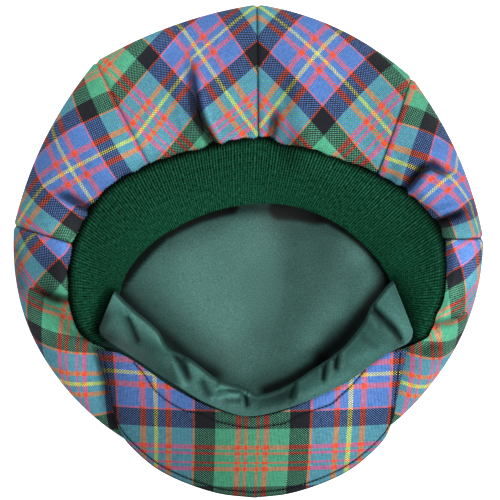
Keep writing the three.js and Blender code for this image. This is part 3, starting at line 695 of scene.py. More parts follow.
# Loose fibres of both yarns mix at the surface, so the weave shows more in lightness than in hue.
mixed = blend(twill, 0.5, yarns[0], yarns[1])
woven_light, mixed_light = lightness(twill, woven), lightness(twill, mixed)
darker = calc(twill, "MINIMUM", calc(twill, "DIVIDE", woven_light, mixed_light), 1.0)
lighter = calc(twill, "MAXIMUM", calc(twill, "SUBTRACT", woven_light, mixed_light), 0.0)
fibres = blend(twill, 1.0, lit(twill, mixed, darker), lighter, "ADD")
fuzzy = blend(twill, FIBRE_MIX, woven, fibres)
# Painted light and shade: each float is lightest at its middle and darker where it dives under the next
# thread.
height = calc(twill, "SUBTRACT", calc(twill, "ABSOLUTE", crossing), MEAN_CROSSING)
crisp = lit(twill, fuzzy, calc(twill, "MULTIPLY_ADD", height, FLOAT_PAINTED_LIGHT, 1.0))
# A painted grey glint on the highest floats.
glint = calc(twill, "MAXIMUM", calc(twill, "MULTIPLY", height, FIBRE_GLINT), 0.0)
twill.links.new(blend(twill, 1.0, crisp, glint, "ADD"), twill_out.inputs["Colour"])
twill.links.new(relief.outputs[0], twill_out.inputs["Height"])


def new_material(name, roughness, sheen, specular):
    """A material with its Principled shader, and the shader's plain values set on its own sockets."""
    material = bpy.data.materials.new(name)
    material.use_nodes = True
    tree = material.node_tree
    shader = tree.nodes["Principled BSDF"]
    shader.inputs["Roughness"].default_value = roughness
    shader.inputs["Sheen Weight"].default_value = sheen
    shader.inputs["Specular IOR Level"].default_value = specular
    return material, tree, shader


def finish_surface(tree, shader, colour, height, strength, depth):
    """Links a surface's colour, and its fine relief of a depth in millimetres."""
    tree.links.new(colour, shader.inputs["Base Color"])
    bump = add_node(tree, "ShaderNodeBump", {
        "Strength": strength, "Distance": depth * MM, "Height": height})
    tree.links.new(bump.outputs[0], shader.inputs["Normal"])


tartan, tree, shader = new_material("tartan_wool", roughness=0.9, sheen=0.03, specular=0.12)
weave = add_node(tree, "ShaderNodeGroup", {"Threads": stored(tree, "threads", "Vector")}, node_tree=twill)
# The stored shade is painted light and shade on the crown and the peak, laid over the weave.
colour = lit(tree, weave.outputs["Colour"], stored(tree, "shade"))
finish_surface(tree, shader, colour, weave.outputs["Height"], TWILL_BUMP, TWILL_DEPTH)

crown_v = bowl_rows(**CROWN_ROWS)
for panel in PANELS:
    even = np.linspace(0, 1, panel["columns"])
    crowded = 0.5 - 0.5 * np.cos(math.pi * even)
    share = (1 - SEAM_CROWDING) * even + SEAM_CROWDING * crowded
    angle = panel["start"] + (panel["end"] - panel["start"]) * share
    sag = panel["sag"] * (1 - (2 * share - 1) ** 2)
    grid = crown_grid(angle, crown_v, sag)
    threads = thread_counts(panel, grid, crown_v)
    relief, drop, shade = crown_relief(grid, angle, crown_v)
    outside = grid + grid_normals(grid) * relief[..., None]
    outside[..., 2] -= drop
    inside = outside - grid_normals(grid) * CLOTH_WALL
    cloth = wall_mesh(panel["node"] + "_cloth", outside, inside, {"threads": threads, "shade": shade})
    cloth.data.materials.append(tartan)
    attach(cloth, "root")
    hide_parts(panel["node"])

# Lining: a bag of green satin that lies in the crown, sewn in at the head opening.
# Only its round floor shows, with soft rises where the satin lies loose.
LINING_WALL = 1.0
LINING_FLOOR = 2.35
LINING_RIM_INSET = 9.0
LINING_SEAM_INSET = 1.0
LINING_SEAM_DROP = 12.0
LINING_LEAST_CLIMB = 0.5
LINING_ROWS = dict(floor=76, edge=14, top=14)
LINING_COLUMNS = 240
OPENING_CENTRE = np.array([4.0, -22.0])
# Soft hollows and, with a depth below zero, rises of the loose satin floor, from the crown's centre.
LINING_WAVES = named_rows(
    "depth width line",
    (2.6, 17, [(15, 19), (12, -13), (3.5, -48), (-5, -77)]),
    (-2.2, 13, [(57, 12), (53, -30), (36, -60)]),
    (-2.5, 14, [(4.7, 40), (4.1, 8)]),
    (-2.5, 16, [(-40, 0), (-42, -35), (-20, -60)]),
)
LOOSE_HEIGHT = 3.2
LOOSE_FADE = 0.2
LOOSE_SWAY = dict(height=0.4, across=9, along=14)
LOOSE_END = (0.6, 1.3)
# Where the band and the facing hang over the lining and keep light off it, and, with a strength
# below zero, where the satin lies open to the light.
LINING_SHADES = named_rows(
    "strength width line fall",
    (0.95, 4.2, [
        (-77, -28), (-71.4, -21.9), (-66.3, -15), (-58.5, -6.4), (-49.6, 2.1), (-40.7, 7.2),
        (-28.9, 12.6), (-17, 16), (-9.9, 17.8)], 8),
    (0.95, 7, [(18.1, 17.5), (29.8, 16.5), (40.3, 14.4)], 8),
    (0.95, 3.4, [
        (40.3, 13.3), (48.5, 10), (56.8, 4.8), (63.8, -0.6), (70.2, -6.4), (76, -12.6), (80.4, -18.6),
        (83, -24.5)], 8),
    (0.75, 5.5, [(-9.9, 17.5), (4, 18), (18.1, 17)]),
    (0.8, 4.5, [(-77, -30), (-54, -52), (-34, -70), (-20, -79)]),
    (0.4, 14, [(-77, -30), (-54, -52), (-34, -70), (-20, -79)]),
    (0.95, 5.5, [(84, -24), (73, -36), (68, -43)], 3),
    (0.95, 6.5, [(64, -48), (54, -60), (43, -69)], 3),
    (0.95, 4, [(43, -71), (24, -83), (10, -89)], 3),
    (-0.6, 6, [(66, -10), (70, -20), (63, -33), (55, -45)]),
    (-0.4, 6, [(-12, -78), (-3, -80)]),
    (-0.35, 6, [(38, -62), (26, -72)]),
    (0.28, 8, [(-45, -4), (-34, 2), (-18, 8)]),
    (0.25, 8, [(18, 10), (26, 0), (24, -20)]),
    (-0.2, 22, [(-45, -5), (-32, -30), (-10, -50)]),
    (0.32, 16, [(30, 8), (44, -2), (36, -28), (18, -56)]),
    (-0.2, 9, [(60, -3), (66, -25), (56, -38), (32, -58)]),
    (0.16, 9, [(-62, -33), (-45, -48), (-29, -61), (-12, -70), (2, -58)]),
    (-0.25, 5, [(-71, -20), (-62, -9), (-52, 0)]),
    (-0.15, 12, [(-10, 4), (2, -8)]),
    (0.14, 12, [(38, 6), (46, -6)]),
)
SATIN_GREEN = (0.052, 0.130, 0.113)
FINE_GRAIN = 1500.0
SATIN_LIGHT = (0.64, 1.36)
SATIN_BUMP = 0.25
SATIN_DEPTH = 0.2


def lining_grid(angle, v):
    """Points of the lining's outside, with v as on the crown."""
    section, seam = crown_section(angle)
    seam = seam + unit(OPENING_CENTRE - seam) * LINING_SEAM_INSET
    climb = np.maximum(section["seam_z"] - LINING_SEAM_DROP - section["rim_z"], LINING_LEAST_CLIMB)
    return bowl_grid(angle, v, section["rim"] - LINING_RIM_INSET, section["rim_z"], seam, climb,
                     floor=LINING_FLOOR)


satin, satin_in, satin_out = new_group(
    "Satin", "Shader", dict(Place="Vector", Shade="Float", Dye="Color"),
    dict(Colour="Color", Height="Float"))
fine = grain(satin, satin_in.outputs["Place"], FINE_GRAIN)
uneven = spread(satin, fine, *GRAIN_RANGE, *SATIN_LIGHT)
value = calc(satin, "MULTIPLY", uneven, satin_in.outputs["Shade"])
satin.links.new(lit(satin, satin_in.outputs["Dye"], value), satin_out.inputs["Colour"])
satin.links.new(fine, satin_out.inputs["Height"])


def satin_material(name, dye, roughness, specular):
    """Satin of a colour, with a stronger or softer shine."""
    material, tree, shader = new_material(name, roughness, 0.0, specular)
    place = add_node(tree, "ShaderNodeTexCoord").outputs["Object"]
    cloth = add_node(tree, "ShaderNodeGroup", {
        "Place": place, "Shade": stored(tree, "shade"), "Dye": (*dye, 1)}, node_tree=satin)
    finish_surface(tree, shader, cloth.outputs["Colour"], cloth.outputs["Height"], SATIN_BUMP, SATIN_DEPTH)
    return material


lining_v = bowl_rows(**LINING_ROWS)
outside = lining_grid(np.linspace(0, FULL_TURN, LINING_COLUMNS, endpoint=False), lining_v)
plan = from_centre(outside)
slant = plan[..., 0] / LOOSE_SWAY["across"] + plan[..., 1] / LOOSE_SWAY["along"]
wave = LOOSE_HEIGHT - crease_depth(plan, LINING_WAVES, LOOSE_FADE) + LOOSE_SWAY["height"] * np.sin(slant)
outside[..., 2] += np.maximum(wave, 0) * (1 - ease(lining_v, *LOOSE_END))[:, None]
ringed = np.concatenate([outside[:, -1:], outside, outside[:, :1]], axis=1)
inside = outside - grid_normals(ringed)[:, 1:-1] * LINING_WALL
inside[0] = outside[0] + np.array([0, 0, LINING_WALL])
shade = soft_shade(plan, LINING_SHADES)
lining = wall_mesh("lining_satin", outside, inside, {"shade": shade}, ring=True, pole=True)
lining.data.materials.append(satin_material("lining_satin", SATIN_GREEN, roughness=0.55, specular=0.12))
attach(lining, "root")
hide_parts("lining_tip", "lining_side_right", "lining_side_left", "lining_mouth")

# Knit band: a doubled band of fine rib knit, sewn along the crown's edge round the back and sides.
# It slopes down into the hollow to a soft fold, and its ribs draw together towards that fold.
BAND_HALF_WALL = 1.9
BAND_SEAM_GAP = 0.5
BAND_ARCH = 4.0
BAND_ARCH_WIDTH = 36.0
BAND_BASE_DROP = 1.0
BAND_SINK = 1.5
BAND_SINK_REACH = 7.0
BAND_BACK = 88.0
BAND_SIDES = (30, 110)
BAND_ROWS = 16
# Seam allowance that goes on under the crown's edge: how far out and how far down.
BAND_ALLOWANCE = [(7.0, 8.0), (5.0, 6.5), (2.5, 3.2)]
# The turn at the soft fold, in degrees from straight ahead, and how far it goes out for its height.
BAND_FOLD_TURNS = [60, 30, 0, -30, -60]
BAND_FOLD_OUT = 0.8
BAND_FOLD_STEP = 0.02
BAND_EDGE = named_rows(
    "angle free_x free_y free_z",
    (-39, 83, -56.5, 22),
    (-29, 88.5, -45, 23),
    (-18, 86, -33, 23),
    (0, 80.5, -19, 21),
    (22, 69, -4, 19),
    (44.5, 50.5, 10.5, 17),
    (66, 28, 19.5, 15.5),
    (88, 3.5, 21.5, 15),
    (110, -21, 17, 15.5),
    (131, -42, 8, 17),
    (154, -58.5, -3, 19),
    (177, -71.5, -18.5, 21),
    (200, -77, -35, 23),
    (210, -79, -46, 23),
    (219.5, -75, -57, 22),
)
# Painted shade where the ends of the front facing and a fold of the crown stand over the band and,
# with a strength below zero, painted light where the knit lies open to the light.
BAND_SHADES = named_rows(
    "strength width line",
    (0.6, 2.5, [(83.5, -24), (88.5, -37), (93, -51), (95, -58)]),
    (0.8, 2.5, [(-78, -31), (-83, -44), (-86.5, -53)]),
    (-0.6, 4, [
        (109.2, 1.7), (109.8, -12.5), (110.4, -26.7), (107, -38.1), (103, -47.7), (97.9, -56.3)]),
    (0.6, 5, [(-85, -53), (-80, -58)]),
    (0.4, 5, [(20, 52), (25, 45)]),
    (-0.5, 9, [(90, -12), (98, -28), (99, -48)]),
    (-0.3, 6, [(-98, 8), (-97, -12), (-95, -28), (-91, -46)]),
    (-0.2, 7, [(36, 46), (55, 36), (72, 24), (86, 8)]),
)
# Painted light and shade on the knit: lighter towards the free edge, darker at the sides and along the
# seam.
BAND_SHADE_SLOPE = 0.3
SIDE_DIM = 0.3
BAND_SEAM_SHADE = 0.92
BAND_SEAM_LINE = 1.3
# The ribs are set out evenly on a line between the seam and the free edge, found in a few passes.
RIB_COUNT = 214
RIB_COLUMNS = 6
RIB_LINE = 0.4
RIB_PASSES = 4
RIB_SWAYS = named_rows("reach rate", (0.12, 0.9), (0.08, 2.3))
RIB_HEIGHT = 0.5
RIB_FADE = 0.3
RIB_RUNOUT = 0.5
RIB_RUNOUT_AT = (0.3, 0.85)
COURSE_PITCH = 1.8
COURSE_BOW = 0.35
# The look of the knit: fuzz that is drawn out along the ribs, round loops, and grooves between ribs.
KNIT_GREEN = (0.0026, 0.051, 0.0235)
FUZZ_DRAWN = 0.4
FUZZ_SCALE = 1.7
FUZZ_HEIGHT = 3.8
LOOP_HEIGHT = 0.25
GROOVE_HEIGHT = 0.7
KNIT_LEVELS = (-1.2, 1.4)
KNIT_LIGHT = (0.1, 2.3)
LOOP_GLINT = 0.015
KNIT_BUMP = 0.5
KNIT_DEPTH = 0.3


def ribbon_sides(line, half):
    """The two sides of a ribbon round lines of (inward, height) points, and the direction along them."""
    along = unit(np.gradient(line, axis=0))
    side = np.stack([-along[..., 1], along[..., 0]], axis=-1) * half
    return line + side, line - side, along


def place_loops(loop, start, towards):
    """Puts (inward, height) points in space, along the level line from start towards another place."""
    plan = start + unit(towards - start) * loop[..., :1]
    return np.concatenate([plan + np.array([0, CROWN_CENTRE_Y]), loop[..., 1:]], axis=-1)


def swept_mesh(name, loops, attributes):
    """A closed solid through loops of points (loop points by columns), with its two ends closed."""
    size, columns = loops.shape[:2]
    index = np.arange(size * columns).reshape(size, columns)
    ahead = np.roll(index, -1, axis=0)
    quads = np.stack([index[:, :-1], index[:, 1:], ahead[:, 1:], ahead[:, :-1]], axis=-1).reshape(-1, 4)
    ends = []
    for j in range(size // 2 - 1):
        far = size - 1 - j
        ends.append([index[j, 0], index[j + 1, 0], index[far - 1, 0], index[far, 0]])
        ends.append([index[far, -1], index[far - 1, -1], index[j + 1, -1], index[j, -1]])
    points = loops.reshape(-1, 3)
    a, b, c = points[quads[:, 0]], points[quads[:, 1]], points[quads[:, 2]]
    faces = quads.tolist() + [[int(i) for i in end] for end in ends]
    if np.einsum("ij,ij->i", a - points.mean(0), np.cross(b - a, c - a)).sum() < 0:
        faces = [face[::-1] for face in faces]
    single = {label: values.reshape(-1, 1) for label, values in attributes.items()}
    return smooth_object(name, points, faces, single)


knit, tree, shader = new_material("rib_knit", roughness=0.95, sheen=0.0, specular=0.05)
course, shaded = stored(tree, "course"), stored(tree, "shade")
loops_up = calc(tree, "SINE", calc(tree, "MULTIPLY", course, 2 * math.pi))
place = add_node(tree, "ShaderNodeCombineXYZ", {
    0: stored(tree, "strand"), 1: calc(tree, "MULTIPLY", course, FUZZ_DRAWN)})
fuzz = grain(tree, place.outputs[0], FUZZ_SCALE)
uneven = calc(tree, "MULTIPLY_ADD", fuzz, FUZZ_HEIGHT, -FUZZ_HEIGHT / 2)
groove = calc(tree, "MULTIPLY", stored(tree, "rib"), GROOVE_HEIGHT)
level = calc(tree, "ADD", uneven, calc(tree, "MULTIPLY_ADD", loops_up, LOOP_HEIGHT, groove))
# The relief also sets the colour: painted shade in the grooves and on the low loops, with the fuzz as tone.
light = spread(tree, level, *KNIT_LEVELS, *KNIT_LIGHT)
wool = lit(tree, (*KNIT_GREEN, 1), calc(tree, "MULTIPLY", light, shaded))
# Painted glints: loose fibres on the high loops catch the light without the dye's colour.
pale = calc(tree, "MAXIMUM", calc(tree, "MULTIPLY_ADD", light, LOOP_GLINT, -LOOP_GLINT), 0.0)
fuzzy = blend(tree, 1.0, wool, calc(tree, "MULTIPLY", pale, shaded), "ADD")
finish_surface(tree, shader, fuzzy, level, KNIT_BUMP, KNIT_DEPTH)

columns = RIB_COUNT * RIB_COLUMNS + 1
angle = np.linspace(BAND_EDGE[0]["angle"], BAND_EDGE[-1]["angle"], columns)
for repeat in range(RIB_PASSES):
    section, seam = crown_section(angle)
    edge = curve_through(BAND_EDGE, "angle", angle)
    free = np.stack([edge["free_x"], edge["free_y"]], axis=-1)
    middle = np.concatenate([(1 - RIB_LINE) * seam + RIB_LINE * free, np.zeros((columns, 1))], axis=1)
    length = path_length(middle[None], 1)[0]
    angle = np.interp(np.linspace(0, length[-1], columns), length, angle)
width = np.linalg.norm(free - seam, axis=-1)
base_z = section["seam_z"] - section["tuck"] - BAND_BASE_DROP
w = np.linspace(0, 1, BAND_ROWS)[:, None]
arch = BAND_ARCH * np.minimum(1, width / BAND_ARCH_WIDTH) * np.sin(math.pi * w)
line = np.stack([width * w, base_z + (edge["free_z"] - base_z) * w + arch], axis=-1)
top, bottom, along = ribbon_sides(line, BAND_HALF_WALL)
nearest = np.minimum(top[..., 0].min(0), bottom[..., 0].min(0))
line[..., 0] += (BAND_SEAM_GAP - nearest) * (1 - w)
line[..., 1] -= BAND_SINK * bell(w * width, BAND_SINK_REACH)
allowance = np.stack([line[0] + np.array([-out, -down]) for out, down in BAND_ALLOWANCE])
line = np.concatenate([allowance, line])
top, bottom, along = ribbon_sides(line, BAND_HALF_WALL)
up = (top[-1] - bottom[-1]) / 2
fold = []
for turn in np.radians(BAND_FOLD_TURNS):
    ahead = math.cos(turn) * along[-1] * BAND_HALF_WALL * BAND_FOLD_OUT
    fold.append(line[-1] + math.sin(turn) * up + ahead)
fold = np.array(fold)
loop = np.concatenate([top, fold[:3], fold[2:3] - BAND_FOLD_STEP * along[-1:], fold[3:], bottom[::-1]])
loops = place_loops(loop, seam, free)
at_sides = ease(np.abs(angle - BAND_BACK), *BAND_SIDES)
from_seam = np.maximum(loop[..., 0] - BAND_SEAM_GAP, 0)
reach = np.clip(from_seam / width, 0, 1)
strand = np.arange(columns) / RIB_COLUMNS
swayed = sum((sway["reach"] * np.sin(strand * sway["rate"]) for sway in RIB_SWAYS), strand)
rib = np.cos(2 * math.pi * swayed) * (1 - RIB_FADE * at_sides)
rib = rib * (1 - RIB_RUNOUT * ease(reach, *RIB_RUNOUT_AT))
course = path_length(loops, 0) / COURSE_PITCH + COURSE_BOW * np.abs(np.mod(strand, 1) - 0.5)
shade = 1 - BAND_SEAM_SHADE * bell(from_seam, BAND_SEAM_LINE)
shade = shade * (1 + BAND_SHADE_SLOPE * (reach - 0.5)) * (1 - SIDE_DIM * at_sides)
shade = shade * soft_shade(from_centre(loops), BAND_SHADES)
band_base = swept_mesh("knit_band_base", loops, {
    "rib": rib, "course": course, "strand": np.broadcast_to(strand, loops.shape[:2]), "shade": shade})

ribs, given, result = new_group(
    "Knit ribs", "Geometry", {"Geometry": "Geometry", "Rib height": "Float", "Knit": "Material"},
    {"Geometry": "Geometry"})
wave = add_node(ribs, "GeometryNodeInputNamedAttribute", {"Name": "rib"}, data_type="FLOAT")
lift = calc(ribs, "MULTIPLY", wave.outputs["Attribute"], given.outputs["Rib height"])
normal = ribs.nodes.new("GeometryNodeInputNormal")
push = add_node(ribs, "ShaderNodeVectorMath", {0: normal.outputs[0], "Scale": lift}, operation="SCALE")
raised = add_node(ribs, "GeometryNodeSetPosition", {
    "Geometry": given.outputs["Geometry"], "Offset": push.outputs[0]})
solid = add_node(ribs, "GeometryNodeRealizeInstances", {0: raised.outputs[0]})
clad = add_node(ribs, "GeometryNodeSetMaterial", {
    "Geometry": solid.outputs[0], "Material": given.outputs["Knit"]})
ribs.links.new(clad.outputs[0], result.inputs["Geometry"])


def grow(source, tree, values, name):
    """Runs a node tree on an object, and gives the result as a plain mesh object."""
    modifier = source.modifiers.new(tree.name, "NODES")
    modifier.node_group = tree
    for item in tree.interface.items_tree:
        if item.in_out == "INPUT" and item.name in values:
            modifier[item.identifier] = values[item.name]
    bpy.context.view_layer.update()
    evaluated = source.evaluated_get(bpy.context.evaluated_depsgraph_get())
    mesh = bpy.data.meshes.new_from_object(evaluated)
    mesh.name = name
    made = new_object(name, mesh)
    source.modifiers.remove(modifier)
    bpy.data.objects.remove(source)
    return made


band = grow(band_base, ribs, {"Rib height": RIB_HEIGHT * MM, "Knit": knit}, "knit_band_ribbed")
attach(band, "root")
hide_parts("knit_band")

# Peak: a stiff crescent between two layers of the tartan, stitched through near its edges.
# It lies nearly level and curls up at its ends, where it meets the band and the crown's edge.
PEAK_X = 1.5
PEAK_SKEW = 1.5
PEAK_WALL = 3.5
PEAK_Z = 36.0
PEAK_SLOPE = 0.14
PEAK_CURL = 20.0
PEAK_CURL_POWER = 4
PEAK_HALF = 88.0
PEAK_DEPTH = 46.0
PEAK_CURL_BACK_Y = -60.0
PEAK_CURL_FRONT_Y = -128.0
PEAK_CURL_LEFT = 0.3
PEAK_EDGE_RADIUS = 2.6
PEAK_LEAST_EDGE = 0.0004
PEAK_WAVE = dict(height=0.25, across=9, along=13, between=8)
PEAK_COLUMNS, PEAK_ROWS = 240, 84
PEAK_SIDE_CROWDING, PEAK_EDGE_CROWDING = 0.3, 0.4
PEAK_OUTLINE = named_rows(
    "seam_x seam_y edge_x edge_y",
    (0, -102.5, 0, -148.2),
    (16, -99.5, 19.5, -146),
    (32, -93, 38.5, -140.2),
    (48, -84, 55, -132.2),
    (62, -74, 67.2, -122.3),
    (75, -66, 75.2, -113),
    (88, -63.5, 79.5, -102),
)
PEAK_PINS = [
    (-55.1, -78.5, 0, 0), (-75.3, -74.8, -39.5, 0), (-61.4, -77.6, -13, 0), (-60.5, -83.6, -13, 13),
    (-48.4, -85.7, 13, 13), (-74.9, -81.6, -39.5, 13), (-75.9, -68.5, -39.5, -13), (-63.1, -71.5, -13, -13),
    (-74, -94, -39.5, 39.5), (-59.8, -97.1, -13, 39.5), (-53.1, -97.8, 0, 39.5), (-46.3, -98.1, 13, 39.5),
    (-31.4, -98.1, 39.5, 39.5), (-59.8, -118.3, -13, 86), (-53.1, -118.6, 0, 86), (-31.8, -118.8, 39.5, 86),
    (-46.4, -128.8, 13, 108), (-31.8, -128.8, 39.5, 108), (1.5, -125.1, 101, 101), (-7.1, -118.6, 86, 86),
    (9.6, -118.6, 116, 86), (-7.1, -131.3, 86, 116), (9.6, -131.3, 116, 116), (61.1, -79, 202, 0),
    (80.7, -76.3, 241.5, 0), (65.9, -84.7, 215, 13), (52.5, -84.7, 189, 13), (79.9, -82.9, 241.5, 13),
    (81, -70.8, 241.5, -13), (51.2, -97.8, 189, 39.5), (64.9, -97.6, 215, 39.5), (79, -95.3, 241.5, 39.5),
    (50, -118.4, 189, 86), (63.5, -118.4, 215, 86), (56.9, -118.4, 202, 86), (49.3, -127.9, 189, 108),
    (58.6, -93.5, 202, 30),
]
STITCH_INSET = 3.2
STITCH_CHANNEL = 0.45
CHANNEL_WIDTH = 0.9
# The line of stitches by the seam, which wanders a little, from the centre of the crown.
SEAM_STITCH = [
    (-65.6, -71.6), (-59.8, -78.1), (-54.1, -86.7), (-47.7, -92.5), (-41.1, -96.6), (-36.2, -98.9),
    (-28, -100.3), (-19.6, -104.5), (0, -108.5), (20, -106), (29, -101.2), (46.6, -95.3), (52.3, -90.3),
    (58.1, -85.1), (62.4, -80.2), (66, -75.9),
]
# Painted shade at the stitches and the edge, and across the peak: darker left and front, lighter by the
# seam.
STITCH_SHADE = 0.6
STITCH_LINE = 0.6
PEAK_EDGE_SHADE = 0.5
PEAK_EDGE_LINE = 0.9
PEAK_DIM = 0.47
PEAK_DIM_FROM = 0.7
PEAK_FRONT_DIM = 0.12
PEAK_SEAM_LIGHT = 0.35
PEAK_SEAM_LIGHT_AT = (20, 60)
PEAK_LEFT_DIM = 0.55
PEAK_LEFT_REACH = 13.0


def peak_top(x, y):
    """Height of the peak's upper face over a place measured from the crown's centre."""
    curl = PEAK_CURL * (np.abs(x - PEAK_X) / PEAK_HALF) ** PEAK_CURL_POWER
    forward = np.clip((PEAK_CURL_BACK_Y - y) / (PEAK_CURL_BACK_Y - PEAK_CURL_FRONT_Y), 0, 1)
    rise = PEAK_SLOPE * (PEAK_OUTLINE[0]["seam_y"] - y)
    return PEAK_Z + rise + curl * (1 + (PEAK_CURL_LEFT - 1) * forward)


def peak_plan(seam_x, share):
    """Place on the peak, from its seam (share 0) to its free edge (share 1)."""
    row = curve_through(PEAK_OUTLINE, "seam_x", np.abs(seam_x))
    reach = np.abs(seam_x) + (row["edge_x"] - np.abs(seam_x)) * share
    x = np.sign(seam_x) * reach + PEAK_X + PEAK_SKEW * share
    y = row["seam_y"] + (row["edge_y"] - row["seam_y"]) * share
    return x, y


def crowded_ends(even, crowding):
    """Even steps drawn closer together towards 1 and -1."""
    return (1 - crowding) * even + crowding * np.sin(even * math.pi / 2)


seam_x = PEAK_HALF * crowded_ends(np.linspace(-1, 1, PEAK_COLUMNS), PEAK_SIDE_CROWDING)
share = crowded_ends(np.linspace(0, 1, PEAK_ROWS), PEAK_EDGE_CROWDING)[:, None]
x, y = peak_plan(seam_x[None, :], share)
plan = np.stack([x, y], axis=-1)
to_rim = np.minimum((1 - share) * PEAK_DEPTH, (PEAK_HALF - np.abs(seam_x))[None, :])
inner = np.clip(1 - to_rim / PEAK_EDGE_RADIUS, 0, 1)
thick = np.sqrt(np.maximum(1 - inner * inner, PEAK_LEAST_EDGE)) * PEAK_WALL / 2
to_line = np.abs(beside_line(plan, SEAM_STITCH)[0])
channel = STITCH_CHANNEL * bell(to_rim - STITCH_INSET, CHANNEL_WIDTH)
inner_line = STITCH_CHANNEL * bell(to_line, CHANNEL_WIDTH)
near_stitch = np.minimum(np.abs(to_rim - STITCH_INSET), to_line)
# Painted light and shade over the peak, kept for the tartan's colour.
shade = 1 - STITCH_SHADE * bell(near_stitch, STITCH_LINE)
shade *= 1 - PEAK_EDGE_SHADE * bell(to_rim, PEAK_EDGE_LINE)
shade *= 1 - PEAK_DIM * (1 - ease(x, -PEAK_HALF * PEAK_DIM_FROM, PEAK_HALF))
shade *= 1 + PEAK_SEAM_LIGHT * (1 - share) * ease(np.abs(x), *PEAK_SEAM_LIGHT_AT)
shade *= 1 - PEAK_FRONT_DIM * share
shade *= 1 - PEAK_LEFT_DIM * bell(PEAK_HALF + seam_x, PEAK_LEFT_REACH)
middle_z = peak_top(x, y) - PEAK_WALL / 2
slant = np.sin(x / PEAK_WAVE["across"] + y / PEAK_WAVE["along"])
soft = PEAK_WAVE["height"] * slant * np.sin(y / PEAK_WAVE["between"])
upper = np.stack([x, y + CROWN_CENTRE_Y, middle_z + thick - channel - inner_line + soft], axis=-1)
lower = np.stack([x, y + CROWN_CENTRE_Y, middle_z - thick + channel + inner_line + soft], axis=-1)
threads = fitted_counts(PEAK_PINS, plan)
peak = wall_mesh("peak_covered", lower, upper, {"threads": threads, "shade": shade})
peak.data.materials.append(tartan)
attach(peak, "root")
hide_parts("peak")

# Topstitching: dark thread through the peak, one line inside its free edge and one by the seam.
# Each stitch is a short plump dash that sinks a little into its channel.
STITCH_PITCH = 2.3
STITCH_LENGTH = 2.1
THREAD_RADIUS = 0.3
THREAD_SEAT = 0.55
THREAD_DETAIL = 2.0
THREAD_DARKS = [(0.004, 0.006, 0.012, 1), (0.016, 0.018, 0.026, 1)]
DASH_SEGMENTS, DASH_RINGS = 8, 6
SIDE_STEPS, FRONT_STEPS, SEAM_STEPS = 40, 200, 160
SIDE_MARGIN = 0.05
FRONT_MARGIN = 3.0

thread, tree, shader = new_material("dark_thread", roughness=0.9, sheen=0.0, specular=0.05)
place = add_node(tree, "ShaderNodeTexCoord").outputs["Object"]
dye = add_node(tree, "ShaderNodeValToRGB", {0: grain(tree, place, FINE_GRAIN, THREAD_DETAIL)})
for stop, dark in zip(dye.color_ramp.elements, THREAD_DARKS):
    stop.color = dark
tree.links.new(dye.outputs[0], shader.inputs["Base Color"])

stitching, given, result = new_group(
    "Topstitch", "Geometry",
    dict(Geometry="Geometry", Pitch="Float", Length="Float", Radius="Float", Thread="Material"),
    dict(Geometry="Geometry"))
route = add_node(stitching, "GeometryNodeMeshToCurve", {"Mesh": given.outputs["Geometry"]})
spaced = add_node(stitching, "GeometryNodeResampleCurve", {
    "Curve": route.outputs[0], "Length": given.outputs["Pitch"]}, mode="LENGTH")
dash = add_node(stitching, "GeometryNodeMeshUVSphere", {
    "Segments": DASH_SEGMENTS, "Rings": DASH_RINGS, "Radius": 1.0})
tangent = stitching.nodes.new("GeometryNodeInputTangent")
aim = add_node(stitching, "FunctionNodeAlignRotationToVector", {"Vector": tangent.outputs[0]}, axis="Z")
half_length = calc(stitching, "MULTIPLY", given.outputs["Length"], 0.5)
shape = add_node(stitching, "ShaderNodeCombineXYZ", {
    0: given.outputs["Radius"], 1: given.outputs["Radius"], 2: half_length})
laid_out = add_node(stitching, "GeometryNodeInstanceOnPoints", {
    "Points": spaced.outputs[0], "Instance": dash.outputs[0],
    "Rotation": aim.outputs[0], "Scale": shape.outputs[0]})
solid = add_node(stitching, "GeometryNodeRealizeInstances", {0: laid_out.outputs[0]})
smooth = add_node(stitching, "GeometryNodeSetShadeSmooth", {"Geometry": solid.outputs[0]})
clad = add_node(stitching, "GeometryNodeSetMaterial", {
    "Geometry": smooth.outputs[0], "Material": given.outputs["Thread"]})
stitching.links.new(clad.outputs[0], result.inputs["Geometry"])


def stitch_line(name, places):
    """A row of stitches along places on the peak's upper face."""
    x, y = places
    z = peak_top(x, y) - STITCH_CHANNEL + THREAD_RADIUS * THREAD_SEAT
    points = np.stack([x, y + CROWN_CENTRE_Y, z], axis=-1) * MM
    mesh = bpy.data.meshes.new(name)
    mesh.from_pydata(points.tolist(), [[i, i + 1] for i in range(len(points) - 1)], [])
    row = grow(new_object(name + "_route", mesh), stitching, {
        "Pitch": STITCH_PITCH * MM, "Length": STITCH_LENGTH * MM,
        "Radius": THREAD_RADIUS * MM, "Thread": thread}, name)
    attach(row, "root")


side = PEAK_HALF - STITCH_INSET
front = 1 - STITCH_INSET / PEAK_DEPTH
up_side = np.linspace(SIDE_MARGIN, front - SIDE_MARGIN, SIDE_STEPS)
front_x = np.linspace(-side + FRONT_MARGIN, side - FRONT_MARGIN, FRONT_STEPS)
route_x = np.concatenate([np.full(SIDE_STEPS, -side), front_x, np.full(SIDE_STEPS, side)])
route_share = np.concatenate([up_side, np.full(FRONT_STEPS, front), up_side[::-1]])
stitch_line("peak_edge_stitching", peak_plan(route_x, route_share))
seam_rows = [dict(at=at, x=x, y=y) for at, (x, y) in enumerate(SEAM_STITCH)]
seam_route = curve_through(seam_rows, "at", np.linspace(0, len(SEAM_STITCH) - 1, SEAM_STEPS))
stitch_line("peak_seam_stitching", (seam_route["x"], seam_route["y"]))

